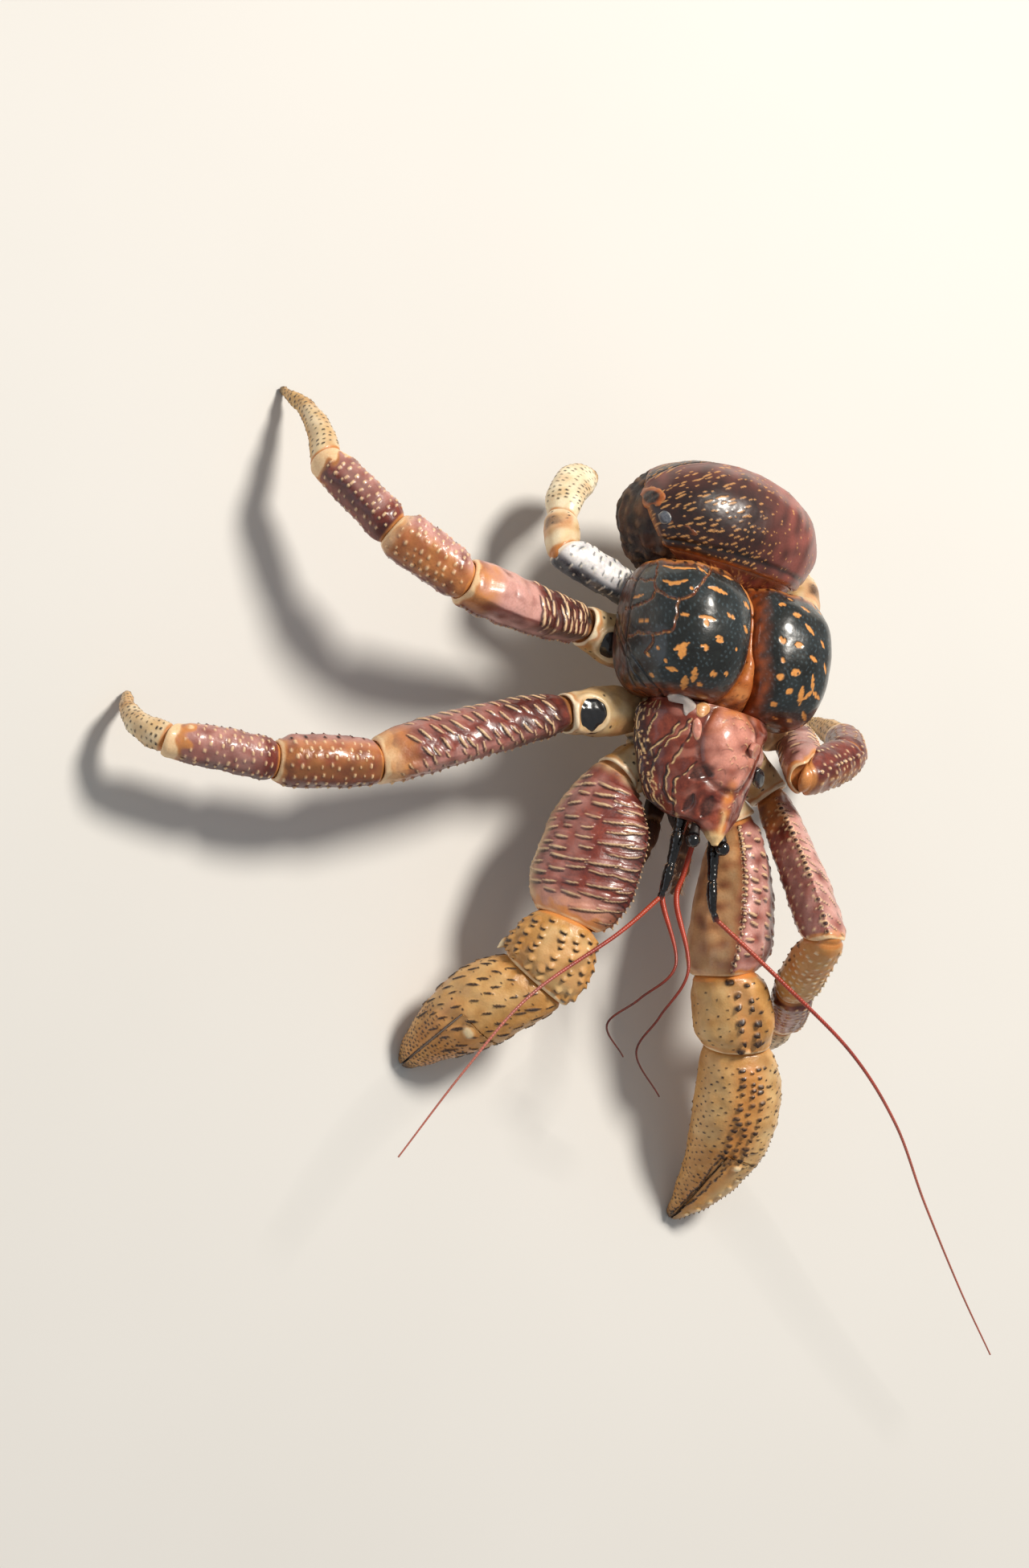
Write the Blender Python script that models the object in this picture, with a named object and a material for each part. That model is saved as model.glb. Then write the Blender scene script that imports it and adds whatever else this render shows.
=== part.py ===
"""Coconut crab (Birgus latro), life size, head down the -Y axis, standing on the floor.

Lengths in the tables are millimetres in a working frame whose floor is z = 0 and whose origin
lies under the middle of the carapace. CENTRE moves that frame so that the finished model stands
with the middle of its box over the world origin. The crab's left side is +X.
"""
import math

import bmesh
import bpy
from mathutils import Matrix, Vector

MM = 0.001
GAP = 0.3
CENTRE = Vector((23.4, 76.0, 0.0))

# The body is held a little higher on its right side
BODY_HEIGHT = 78.0
BODY_ROLL = math.radians(8.0)
SKIRT = -12.0

# Carapace: lobes over the gill chambers, the shield of the head, and the wedge between them
LOBE_CENTRE = Vector((27.0, 31.5))
LOBE_REACH = Vector((30.5, 36.0))
LOBE_POWER = 2.7
LOBE_STACK = ((-12.0, 0.90), (-6.0, 0.97), (1.0, 1.0), (9.0, 0.975), (17.0, 0.90), (24.0, 0.78),
              (30.0, 0.60), (34.0, 0.36), (35.5, 0.12))
LOBE_SIDES = 24
WEDGE_LINE = ((0.0, 11.0), (30.0, 2.0), (45.0, 2.0), (64.0, 4.5))
WEDGE_TOPS = (16.0, 24.0, 22.0, 10.0)

# Shield stations: place along y, half width, top, bottom, height of the widest line
SHIELD = ((-1.0, 34.0, 19.0, -12.0, -3.0), (-8.0, 35.5, 21.5, -14.0, -4.0), (-20.0, 33.5, 23.0, -16.0, -4.0),
          (-33.0, 28.5, 22.0, -17.0, -3.0), (-44.0, 23.5, 20.5, -16.0, -1.0), (-51.0, 18.5, 19.5, -8.0, 2.5),
          (-55.0, 11.5, 19.0, 6.0, 11.5), (-58.5, 5.0, 18.5, 11.0, 15.0), (-65.0, 1.0, 17.5, 14.5, 16.0))
SHIELD_SIDES = 18
SHIELD_POWERS = (2.1, 3.0)

# Underside between the legs: place along y, half width, bottom
STERNUM = ((-46.0, 9.0, -22.0), (-40.0, 15.0, -30.0), (-22.0, 27.0, -37.0), (5.0, 32.0, -39.0),
           (30.0, 33.0, -38.0), (52.0, 30.0, -34.0), (64.0, 20.0, -28.0))
STERNUM_MIDDLE = -18.0
STERNUM_RISE = 8.0
STERNUM_SIDES = 16
STERNUM_POWERS = (3.0, 2.2)

# Abdomen: middle, and its half width, half length, height above and depth below
# Its hard plates are slices that fan out from a hinge line, over a soft belly below the lid plane
BELLY_CENTRE = Vector((0.0, 88.0, -16.0))
BELLY_REACH = (53.0, 32.0, 42.0, 30.0)
BELLY_SIDES = 22
BELLY_RINGS = 10
BELLY_POWERS = (2.3, 2.2)
BELLY_BLUNTNESS = 0.85
BELLY_END = 0.04
BELLY_HINGE = Vector((0.0, 75.0, -30.0))
BELLY_LID = Vector((0.0, 83.0, -12.0))
BELLY_SLOPE = math.radians(25.0)
BELLY_FOLD = Vector((0.0, 62.0, -30.0))
TERGITE_CUTS = (82.0, 140.0, 158.0, 180.0)
TERGITE_LIFT = (0.0, 1.6, 0.6, -0.4)
TAIL_FLAT = -41.0
TAIL_STATIONS = ((108.0, 7.0, 1.5), (102.0, 13.0, 3.0), (90.0, 15.0, 4.0), (78.0, 11.0, 3.5),
                 (71.0, 4.0, 2.0))
TAIL_RISE = 1.0
TAIL_SIDES = 14
TAIL_POWERS = (2.5, 2.5)

# Where each limb leaves the sternum, for the left side, and the way its facet faces
ROOTS = {
    "claw": (Vector((15.0, -26.0, -22.0)), Vector((0.70, -0.71, 0.0))),
    "leg2": (Vector((28.0, -4.0, -24.0)), Vector((0.96, -0.28, 0.0))),
    "leg3": (Vector((30.0, 24.0, -24.0)), Vector((1.0, 0.0, 0.0))),
    "leg4": (Vector((26.0, 48.0, -21.0)), Vector((0.97, 0.24, 0.0))),
}

# Stations of a limb's length: place along it, half width, height above and below its middle line
BASE = ((0.0, 10.0, 10.0, 10.0), (0.35, 12.0, 12.0, 12.0), (0.75, 10.5, 10.5, 10.5), (1.0, 9.0, 9.0, 9.0))
MERUS = ((0.0, 8.0, 8.0, 8.0), (0.12, 10.0, 11.0, 10.5), (0.45, 11.5, 14.0, 12.5), (0.8, 12.5, 14.5, 13.0),
         (0.94, 12.0, 12.5, 12.0), (1.0, 10.0, 10.0, 10.0))
CARPUS = ((0.0, 9.0, 9.0, 9.0), (0.2, 11.0, 11.5, 10.5), (0.6, 12.0, 12.0, 11.0), (0.86, 12.0, 11.5, 10.5),
          (1.0, 8.5, 8.5, 8.5))
PROPODUS = ((0.0, 8.0, 8.0, 8.0), (0.15, 9.8, 10.0, 9.0), (0.5, 9.6, 9.8, 9.0), (0.86, 9.0, 8.8, 8.4),
            (1.0, 7.2, 7.2, 7.2))
DACTYL = ((0.0, 6.6, 6.6, 6.6), (0.18, 6.4, 6.6, 6.2), (0.45, 5.2, 5.4, 5.0), (0.7, 3.8, 4.0, 3.8),
          (0.88, 2.6, 2.6, 2.6), (1.0, 1.7, 1.7, 1.7))
SMALL_MERUS = ((0.0, 6.0, 6.0, 6.0), (0.3, 8.0, 8.5, 8.0), (0.7, 8.8, 9.0, 8.5), (0.92, 8.4, 8.6, 8.2),
               (1.0, 6.5, 6.5, 6.5))
SMALL_CARPUS = ((0.0, 6.5, 6.5, 6.5), (0.4, 8.4, 8.4, 8.0), (0.8, 8.4, 8.2, 8.0), (1.0, 6.2, 6.2, 6.2))
HAND = ((0.0, 6.4, 5.0, 5.0), (0.3, 9.2, 5.4, 5.2), (0.6, 9.4, 5.0, 4.8), (0.85, 6.6, 3.6, 3.6),
        (1.0, 2.4, 1.8, 1.8))
CLAW_BASE = ((0.0, 10.5, 11.0, 11.0), (0.5, 11.5, 12.0, 12.0), (1.0, 9.5, 10.5, 10.0))
PADDLE = ((0.0, 8.0, 10.5, 10.0), (0.15, 10.5, 18.5, 16.0), (0.42, 13.0, 26.0, 23.0),
          (0.72, 14.0, 27.0, 23.5), (0.92, 13.0, 22.0, 19.5), (1.0, 11.0, 16.0, 14.5))
KEELED_MERUS = ((0.0, 9.0, 10.0, 9.0), (0.15, 13.5, 15.0, 12.0), (0.5, 19.0, 21.0, 15.0),
                (0.8, 20.5, 22.0, 16.0), (0.94, 18.5, 18.0, 15.0), (1.0, 14.5, 14.0, 12.5))
RIGHT_CARPUS = ((0.0, 13.5, 12.0, 12.0), (0.25, 18.5, 14.5, 13.5), (0.7, 21.5, 16.0, 14.5),
                (1.0, 17.5, 13.0, 12.5))
LEFT_CARPUS = ((0.0, 14.5, 13.5, 13.0), (0.25, 18.0, 16.5, 15.5), (0.7, 19.5, 17.5, 16.5),
               (1.0, 16.0, 14.5, 14.0))
RIGHT_CHELA = ((0.0, 15.5, 12.0, 12.0), (0.15, 18.5, 14.5, 14.5), (0.35, 19.5, 15.5, 15.0),
               (0.55, 17.0, 13.5, 13.0), (0.7, 13.5, 10.5, 10.0), (0.85, 9.0, 7.5, 7.0),
               (0.95, 5.2, 4.6, 4.4), (1.0, 2.6, 2.4, 2.4))
LEFT_CHELA = ((0.0, 14.5, 13.0, 13.0), (0.12, 19.0, 16.5, 16.0), (0.3, 21.0, 17.5, 17.0),
              (0.5, 19.5, 15.5, 15.0), (0.65, 16.0, 12.5, 12.0), (0.8, 11.5, 9.2, 9.0),
              (0.92, 6.6, 5.8, 5.6), (1.0, 2.8, 2.6, 2.6))

LIMB_SIDES = 10
CLAW_SIDES = 14
ROUND = (2.2, 2.2)
KEELED = (1.55, 2.4)
UP = (0.0, 0.0, 1.0)
STRAIGHT = (0.0, 0.0, 0.0)

# Joints: how far the first length runs back into its facet, the least run past any other joint,
# the bend from which an outer corner is cut off, and how far that cut lies inside the corner
ROOT_RUN = 12.0
JOINT_RUN = 2.0
SHARP_BEND = math.radians(20.0)
CORNER_CUT = 1.0

# Each limb as its lengths from the sternum out: name, far joint, stations, way up, bow, section powers
LIMBS = {
    "claw_right": (
        ("base", (-34.0, -36.0, 58.0), CLAW_BASE, UP, STRAIGHT, ROUND),
        ("merus", (-49.0, -108.0, 55.0), PADDLE, (0.70, 0.0, 0.71), (-2.0, 0.0, 2.0), KEELED),
        ("carpus", (-55.0, -137.0, 46.0), RIGHT_CARPUS, (-0.5, -0.2, 0.83), (0.0, 0.0, 2.0), ROUND),
        ("chela", (-93.0, -183.0, 0.0), RIGHT_CHELA, (-0.52, -0.17, 0.83), (-5.0, 2.0, 3.0), ROUND)),
    "claw_left": (
        ("base", (38.0, -42.0, 54.0), CLAW_BASE, UP, STRAIGHT, ROUND),
        ("merus", (42.0, -116.0, 58.0), KEELED_MERUS, (-0.40, 0.0, 0.92), (3.0, 0.0, 1.0), KEELED),
        ("carpus", (60.0, -146.0, 49.0), LEFT_CARPUS, (-0.40, 0.0, 0.92), (0.0, 0.0, 2.0), ROUND),
        ("chela", (69.0, -229.0, 0.0), LEFT_CHELA, (-0.30, 0.0, 0.95), (11.0, -2.0, 7.0), ROUND)),
    "leg2_right": (
        ("base", (-71.0, -15.0, 64.0), BASE, UP, STRAIGHT, ROUND),
        ("merus", (-161.0, -57.0, 54.0), MERUS, (0.0, -0.55, 0.84), (0.0, 2.0, 3.0), KEELED),
        ("carpus", (-209.0, -66.0, 46.0), CARPUS, (0.0, -0.5, 0.87), (0.0, 0.0, 1.5), ROUND),
        ("propodus", (-260.0, -67.0, 40.0), PROPODUS, (0.0, -0.3, 0.95), (0.0, 0.0, 1.5), ROUND),
        ("dactyl", (-264.0, -43.0, 0.0), DACTYL, (-0.9, 0.0, 0.4), (-9.0, -4.0, 5.0), ROUND)),
    "leg3_right": (
        ("base", (-65.0, 29.0, 60.0), BASE, UP, STRAIGHT, ROUND),
        ("merus", (-142.0, 30.0, 76.0), MERUS, (0.0, -0.55, 0.84), (0.0, -2.0, 2.0), KEELED),
        ("carpus", (-176.0, 47.0, 64.0), CARPUS, (0.0, -0.3, 0.95), (0.0, 0.0, 1.5), ROUND),
        ("propodus", (-204.5, 76.0, 42.0), PROPODUS, (0.0, 0.2, 0.95), (0.0, 0.0, 1.5), ROUND),
        ("dactyl", (-210.0, 115.0, 0.0), DACTYL, (0.0, 0.6, 0.8), (2.0, 2.0, 6.0), ROUND)),
    "leg4_right": (
        ("merus", (-80.0, 62.0, 57.0), SMALL_MERUS, UP, (0.0, -1.0, 2.0), ROUND),
        ("carpus", (-75.0, 80.0, 44.0), SMALL_CARPUS, (-0.6, 0.3, 0.7), STRAIGHT, ROUND),
        ("hand", (-49.0, 110.0, 28.0), HAND, (-0.5, 0.0, 0.86), (-6.0, 4.0, 2.0), ROUND)),
    "leg2_left": (
        ("base", (58.0, -26.0, 54.0), BASE, UP, STRAIGHT, ROUND),
        ("merus", (66.0, -97.0, 102.0), MERUS, (-0.5, 0.2, 0.84), (2.0, 0.0, 0.0), KEELED),
        ("carpus", (76.0, -118.0, 68.0), CARPUS, (0.0, -1.0, 0.2), STRAIGHT, ROUND),
        ("propodus", (98.0, -128.0, 32.0), PROPODUS, (0.2, -1.0, 0.0), (1.0, 0.0, 1.0), ROUND),
        ("dactyl", (106.0, -138.0, 0.0), DACTYL, (0.3, -1.0, 0.0), (2.0, -3.0, 0.0), ROUND)),
    "leg3_left": (
        ("base", (66.0, 11.0, 46.0), BASE, UP, STRAIGHT, ROUND),
        ("merus", (51.0, -20.0, 91.0), MERUS, (0.3, -0.72, -0.38), (2.0, 0.0, 0.0), KEELED),
        ("carpus", (82.0, -4.0, 78.0), CARPUS, (0.3, -0.6, 0.7), STRAIGHT, ROUND),
        ("propodus", (107.0, 14.0, 38.0), PROPODUS, (0.9, 0.0, 0.3), (1.0, 0.0, 1.0), ROUND),
        ("dactyl", (112.0, 28.0, 0.0), DACTYL, (1.0, 0.0, 0.2), (2.0, 1.0, 0.0), ROUND)),
    "leg4_left": (
        ("merus", (64.0, 62.0, 54.0), SMALL_MERUS, UP, (0.0, -1.0, 2.0), ROUND),
        ("carpus", (74.0, 84.0, 36.0), SMALL_CARPUS, (0.7, 0.3, 0.6), STRAIGHT, ROUND),
        ("hand", (66.0, 108.0, 0.0), HAND, (0.9, 0.2, 0.3), (3.0, 2.0, 2.0), ROUND)),
}

# Lengths that are thinner than their stations say, by this share of them
THINNER = {
    ("leg2_left", "merus"): 0.88,
    ("leg2_left", "carpus"): 0.88,
    ("leg3_left", "merus"): 0.84,
    ("leg3_left", "carpus"): 0.88,
}

# The gape of each claw: where along it the moving finger is hinged, and the side of the claw it is on.
# The hinge lies off the middle line, and the cutter that parts the fingers reaches well past the claw.
HINGE = {"claw_right": (0.44, -1.0), "claw_left": (0.52, -1.0)}
HINGE_OFFSET = 1.5
GAPE = 0.7
CUTTER_REACH = 200.0

# Raised forms of each length, by the kind of limb and the length: rows of spines and rows of bars.
# A row of spines: angle round the section, first and last place along, count, height, half base, lean.
# A row of bars: first and last angle, first and last place along, count, slant along, height, half width.
# Angles are for the crab's right side, where 90 is the crest and 0 the outer face.
SPINES = {
    ("claw", "merus"): ((90.0, 0.14, 0.93, 9, 2.8, 1.9, 1.0),),
    ("claw", "carpus"): ((96.0, 0.22, 0.82, 4, 3.0, 2.2, 1.0), (55.0, 0.30, 0.80, 3, 2.4, 2.0, 1.0),
                         (20.0, 0.24, 0.78, 3, 2.4, 2.0, 1.0), (140.0, 0.26, 0.78, 3, 2.2, 2.0, 1.0)),
    ("claw", "palm"): ((100.0, 0.10, 0.46, 4, 1.8, 1.7, 2.0), (65.0, 0.08, 0.74, 7, 1.8, 1.6, 2.0),
                       (30.0, 0.12, 0.72, 6, 1.8, 1.6, 2.0), (0.0, 0.10, 0.80, 7, 1.8, 1.6, 2.0)),
    ("leg2", "merus"): ((90.0, 0.12, 0.92, 9, 2.2, 1.5, 1.2),),
    ("leg3", "merus"): ((90.0, 0.12, 0.92, 8, 2.2, 1.5, 1.2),),
    ("leg2", "carpus"): ((90.0, 0.20, 0.84, 4, 2.2, 1.6, 1.5), (40.0, 0.25, 0.80, 3, 1.8, 1.5, 1.5)),
    ("leg3", "carpus"): ((90.0, 0.20, 0.84, 4, 2.2, 1.6, 1.5), (40.0, 0.25, 0.80, 3, 1.8, 1.5, 1.5)),
    ("leg2", "propodus"): ((90.0, 0.16, 0.84, 5, 1.8, 1.4, 1.5), (35.0, 0.20, 0.80, 4, 1.4, 1.3, 1.5)),
    ("leg3", "propodus"): ((90.0, 0.16, 0.84, 5, 1.8, 1.4, 1.5), (35.0, 0.20, 0.80, 4, 1.4, 1.3, 1.5)),
}
BARS = {
    ("claw", "merus"): ((14.0, 72.0, 0.22, 0.86, 6, 0.05, 1.2, 1.3),
                        (-48.0, 2.0, 0.34, 0.80, 3, 0.03, 1.1, 1.3)),
    ("leg2", "merus"): ((2.0, 66.0, 0.18, 0.84, 6, -0.07, 1.0, 1.2),
                        (112.0, 160.0, 0.26, 0.76, 3, 0.05, 0.9, 1.2)),
    ("leg3", "merus"): ((2.0, 66.0, 0.20, 0.82, 5, -0.07, 1.0, 1.2),),
}

# A spine: depth of its root, its length along the limb for a base of 1, its blunt top, its range of sizes.
# A bar: depth of its root, width of the root, the least share of its width and how deep its ends dip.
# Every form keeps this far inside the joint planes of its length.
SPINE_ROOT = 2.2
SPINE_RUN = 1.5
SPINE_TOP = 0.12
SPINE_SIZES = (0.85, 1.0, 1.075, 0.925, 1.15)
BAR_ROOT = 1.8
BAR_FOOT = 1.4
BAR_TAPER = 0.35
BAR_DIP = 0.6
BAR_RINGS = (0.0, 0.22, 0.5, 0.78, 1.0)
FORM_MARGIN = 0.4

# Head: eyes on stalks under the rostrum, and the roots of both pairs of feelers (body frame, left side)
STALK_ROOT, STALK_TIP = Vector((5.5, -46.0, 8.0)), Vector((9.0, -61.0, 10.5))
STALK_STATIONS = ((0.0, 2.6, 2.6, 2.6), (0.5, 2.2, 2.2, 2.2), (1.0, 2.6, 2.6, 2.6))
STALK_GIRTH = 2.4
STALK_SIDES = 8
EYE_RADIUS = 3.4
EYE_SEGMENTS = (8, 7)
EYE_SEAT = 0.8

# Feelers as routes through the working frame
ANTENNA_BASE = {
    "right": ((-9.0, -46.0, 80.0), (-10.5, -64.0, 80.5), (-12.0, -84.0, 78.5), (-12.5, -92.0, 76.0)),
    "left": ((10.5, -46.0, 77.0), (12.0, -64.0, 79.0), (14.0, -88.0, 80.5), (18.0, -97.0, 80.5)),
}
ANTENNA = {
    "right": ((-12.4, -91.0, 76.2), (-38.0, -114.0, 83.0), (-82.0, -151.0, 85.0), (-108.0, -190.0, 80.0),
              (-130.0, -233.0, 70.0)),
    "left": ((17.6, -96.0, 80.4), (52.0, -120.0, 92.0), (95.0, -146.0, 95.0), (131.0, -174.0, 89.0),
             (161.0, -207.0, 80.0), (198.0, -244.0, 69.0), (229.0, -272.0, 60.0)),
}
ANTENNULE = {
    "right": ((-3.4, -46.0, 79.0), (-5.5, -74.0, 70.0), (-5.0, -90.0, 67.0), (0.0, -121.0, 78.0),
              (-12.0, -139.0, 70.0), (-23.0, -153.0, 62.0), (-3.6, -164.6, 50.0)),
    "left": ((3.4, -46.0, 79.0), (1.0, -76.0, 73.5), (-0.5, -91.0, 72.5), (4.0, -123.0, 83.0),
             (-3.0, -146.0, 75.0), (-8.0, -164.0, 67.0), (17.0, -180.0, 54.0)),
}
MAXILLIPED = {
    "right": ((-6.5, -40.0, 53.0), (-11.5, -63.0, 58.0), (-16.0, -86.0, 48.0)),
    "left": ((5.5, -40.5, 51.0), (11.5, -62.0, 56.0), (17.0, -82.0, 45.0)),
}

# Each kind of feeler: its routes, the node it is socketed in, points a stretch, radius at both ends,
# sides and finish
SOCKET_GROWTH = 1.4
FEELERS = (
    ("antenna_base", ANTENNA_BASE, "cephalic_shield", 3, 3.0, 2.0, 8, "hide_dark"),
    ("antenna", ANTENNA, None, 5, 1.0, 0.35, 6, "feeler_red"),
    ("antennule", ANTENNULE, "cephalic_shield", 3, 1.3, 0.45, 6, "feeler_red"),
    ("maxilliped", MAXILLIPED, "sternum", 4, 4.6, 2.2, 8, "hide_dark"),
)

# Colour and roughness of every finish, and the finish of a limb's lengths where it isn't the plum one
FINISHES = {
    "shell_dark": ((0.030, 0.026, 0.034), 0.28),
    "shell_wine": ((0.210, 0.045, 0.045), 0.34),
    "shell_tan": ((0.500, 0.300, 0.120), 0.45),
    "limb_plum": ((0.230, 0.060, 0.065), 0.38),
    "limb_straw": ((0.620, 0.420, 0.180), 0.42),
    "hide_dark": ((0.055, 0.030, 0.032), 0.55),
    "eye_black": ((0.008, 0.008, 0.010), 0.08),
    "feeler_red": ((0.420, 0.035, 0.030), 0.40),
}
LIMB_FINISH = {"base": "limb_straw", "dactyl": "limb_straw", "hand": "limb_straw"}
CLAW_FINISH = {"base": "limb_straw", "carpus": "shell_tan", "palm": "shell_tan", "finger": "shell_tan"}
SHARP_EDGE = math.radians(40.0)
WELD = 1e-4


def body(point):
    """A place in the body's own frame, which is raised and rolled, given in the working frame."""
    return Matrix.Rotation(BODY_ROLL, 3, "Y") @ Vector(point) + Vector((0.0, 0.0, BODY_HEIGHT))


def body_way(direction):
    """A direction in the body's own frame, given in the working frame."""
    return Matrix.Rotation(BODY_ROLL, 3, "Y") @ Vector(direction)


def mirrored(vector, side):
    """The same vector on the crab's left or right side."""
    return Vector((vector[0] * (1.0 if side == "left" else -1.0), vector[1], vector[2]))


def finish_material(name):
    """A Principled material for one finish, made once."""
    material = bpy.data.materials.get(name)
    if material is None:
        colour, roughness = FINISHES[name]
        material = bpy.data.materials.new(name)
        material.use_nodes = True
        shader = material.node_tree.nodes["Principled BSDF"]
        shader.inputs["Base Color"].default_value = (*colour, 1.0)
        shader.inputs["Roughness"].default_value = roughness
        shader.inputs["Metallic"].default_value = 0.0
    return material


def superellipse(count, power):
    """Points of a unit superellipse; the power is the pair for its upper and its lower half."""
    points = []
    for index in range(count):
        angle = 2.0 * math.pi * index / count
        cosine, sine = math.cos(angle), math.sin(angle)
        exponent = 2.0 / (power[0] if sine >= 0.0 else power[1])
        points.append((math.copysign(abs(cosine) ** exponent, cosine),
                       math.copysign(abs(sine) ** exponent, sine)))
    return points


def scaled(stations, factor):
    """The same stations for a thicker or thinner length."""
    return tuple((row[0], row[1] * factor, row[2] * factor, row[3] * factor) for row in stations)


def skinned(rings):
    """A closed bmesh through rings of equal count, each end closed by one flat face."""
    mesh = bmesh.new()
    loops = [[mesh.verts.new(point) for point in ring] for ring in rings]
    for near, far in zip(loops, loops[1:]):
        for index in range(len(near)):
            after = (index + 1) % len(near)
            mesh.faces.new((near[index], near[after], far[after], far[index]))
    mesh.faces.new(reversed(loops[0]))
    mesh.faces.new(loops[-1])
    bmesh.ops.recalc_face_normals(mesh, faces=mesh.faces)
    return mesh


def trim(mesh, point, normal):
    """Cut away what lies past a plane on the side its normal points to, and close the cut."""
    geometry = mesh.verts[:] + mesh.edges[:] + mesh.faces[:]
    cut = bmesh.ops.bisect_plane(mesh, geom=geometry, dist=0.1 * WELD, plane_co=point, plane_no=normal,
                                 clear_outer=True)
    edges = [item for item in cut["geom_cut"] if isinstance(item, bmesh.types.BMEdge)]
    if edges:
        bmesh.ops.holes_fill(mesh, edges=edges, sides=0)


def node(name, mesh, finish):
    """The named object of a node, moved to the world's metres."""
    bmesh.ops.triangulate(mesh, faces=mesh.faces)
    bmesh.ops.remove_doubles(mesh, verts=mesh.verts, dist=WELD)
    bmesh.ops.dissolve_degenerate(mesh, edges=mesh.edges, dist=WELD)
    bmesh.ops.triangulate(mesh, faces=mesh.faces)
    bmesh.ops.recalc_face_normals(mesh, faces=mesh.faces)
    bmesh.ops.transform(mesh, matrix=Matrix.Scale(MM, 4) @ Matrix.Translation(CENTRE), verts=mesh.verts)
    data = bpy.data.meshes.new(name)
    mesh.to_mesh(data)
    mesh.free()
    data.materials.append(finish_material(finish))
    data.shade_smooth()
    data.set_sharp_from_angle(angle=SHARP_EDGE)
    thing = bpy.data.objects.new(name, data)
    bpy.context.scene.collection.objects.link(thing)
    return thing


class Length:
    """One length of a limb: superellipse rings on a line that bows a little between its two joints."""

    def __init__(self, start, end, stations, up, bow, power):
        self.start, self.end = Vector(start), Vector(end)
        self.stations = stations
        self.up, self.bow, self.power = Vector(up), Vector(bow), power

    def centre(self, along):
        """The middle line: the chord plus a parabola that is zero at both joints."""
        return self.start.lerp(self.end, along) + self.bow * (4.0 * along * (1.0 - along))

    def axes(self, along):
        """Side, up and forward directions of the ring at one place along."""
        forward = (self.end - self.start + self.bow * (4.0 - 8.0 * along)).normalized()
        side = forward.cross(self.up).normalized()
        return side, side.cross(forward), forward

    def girth(self, along):
        """Half width, height above and depth below at one place, straight between stations."""
        stations = self.stations
        if along <= stations[0][0]:
            return stations[0][1:]
        for near, far in zip(stations, stations[1:]):
            if along <= far[0]:
                share = (along - near[0]) / (far[0] - near[0])
                return tuple(a + (b - a) * share for a, b in zip(near[1:], far[1:]))
        return stations[-1][1:]

    def ring(self, along, unit):
        """The ring at one place, as points."""
        side, rise, _ = self.axes(along)
        wide, above, below = self.girth(along)
        centre = self.centre(along)
        return [centre + side * (wide * x) + rise * ((above if z >= 0.0 else below) * z) for x, z in unit]

    def solid(self, sides, run_in, run_out):
        """The closed mesh, run past its joints by the given lengths."""
        unit = superellipse(sides, self.power)
        length = (self.end - self.start).length
        places = [station[0] for station in self.stations]
        if run_in > 0.0:
            places = [-run_in / length] + places
        if run_out > 0.0:
            places = places + [1.0 + run_out / length]
        return skinned([self.ring(along, unit) for along in places])


def on_surface(length, along, degrees):
    """A place on a length's skin and the way out of it there."""
    angle = math.radians(degrees)
    cosine, sine = math.cos(angle), math.sin(angle)
    side, rise, _ = length.axes(along)
    wide, above, below = length.girth(along)
    tall = above if sine >= 0.0 else below
    exponent = 2.0 / length.power[0 if sine >= 0.0 else 1]
    out_x = math.copysign(abs(cosine) ** exponent, cosine)
    out_z = math.copysign(abs(sine) ** exponent, sine)
    place = length.centre(along) + side * (wide * out_x) + rise * (tall * out_z)
    return place, (side * (cosine / wide) + rise * (sine / tall)).normalized()


def spine_row(length, flip, row):
    """Four-sided spines in a row along a length, each leaning a little to the tip."""
    degrees, first, last, count, height, base, lean = row
    pieces = []
    for index in range(count):
        along = first + (last - first) * index / (count - 1)
        size = SPINE_SIZES[index % len(SPINE_SIZES)]
        place, out = on_surface(length, along, flip(degrees))
        forward = length.axes(along)[2]
        cross = out.cross(forward)
        foot = place - out * SPINE_ROOT
        ring = [foot + (forward * x + cross * y) * base * size * SPINE_RUN
                for x, y in ((1.0, 0.0), (0.0, 1.0), (-1.0, 0.0), (0.0, -1.0))]
        peak = place + out * (height * size) + forward * (lean * size)
        pieces.append([ring, [peak + (corner - foot) * SPINE_TOP for corner in ring]])
    return pieces


def bar_row(length, flip, row):
    """Low three-sided bars that run across a length, sunk in at both ends."""
    first_angle, last_angle, first, last, count, slant, height, half = row
    pieces = []
    for index in range(count):
        along = first + (last - first) * index / (count - 1)
        rings = []
        for share in BAR_RINGS:
            rise = math.sin(math.pi * share)
            place, out = on_surface(length, along + slant * (share - 0.5),
                                    flip(first_angle + (last_angle - first_angle) * share))
            forward = length.axes(along)[2]
            foot = place - out * BAR_ROOT
            half_foot = forward * (half * (BAR_TAPER + (1.0 - BAR_TAPER) * rise) * BAR_FOOT)
            crest = place + out * ((height + BAR_DIP) * rise - BAR_DIP)
            rings.append([foot - half_foot, foot + half_foot, crest])
        pieces.append(rings)
    return pieces


def clear_of(rings, cuts):
    """Whether every point of a piece lies well inside every cut of its length."""
    return all((point - place).dot(normal.normalized()) < -FORM_MARGIN
               for ring in rings for point in ring for place, normal in cuts)


def dress(prefix, part, length, cuts, thing):
    """Raise the spines and bars of one length, where no joint cuts them, and join them to it."""
    kind, side = prefix.split("_")

    def flip(degrees):
        return degrees if side == "right" else 180.0 - degrees

    pieces = []
    for row in SPINES.get((kind, part), ()):
        pieces += spine_row(length, flip, row)
    for row in BARS.get((kind, part), ()):
        pieces += bar_row(length, flip, row)
    whole = [loose("form", skinned(rings)) for rings in pieces if clear_of(rings, cuts)]
    if whole:
        boolean(thing, whole, "UNION")


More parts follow.
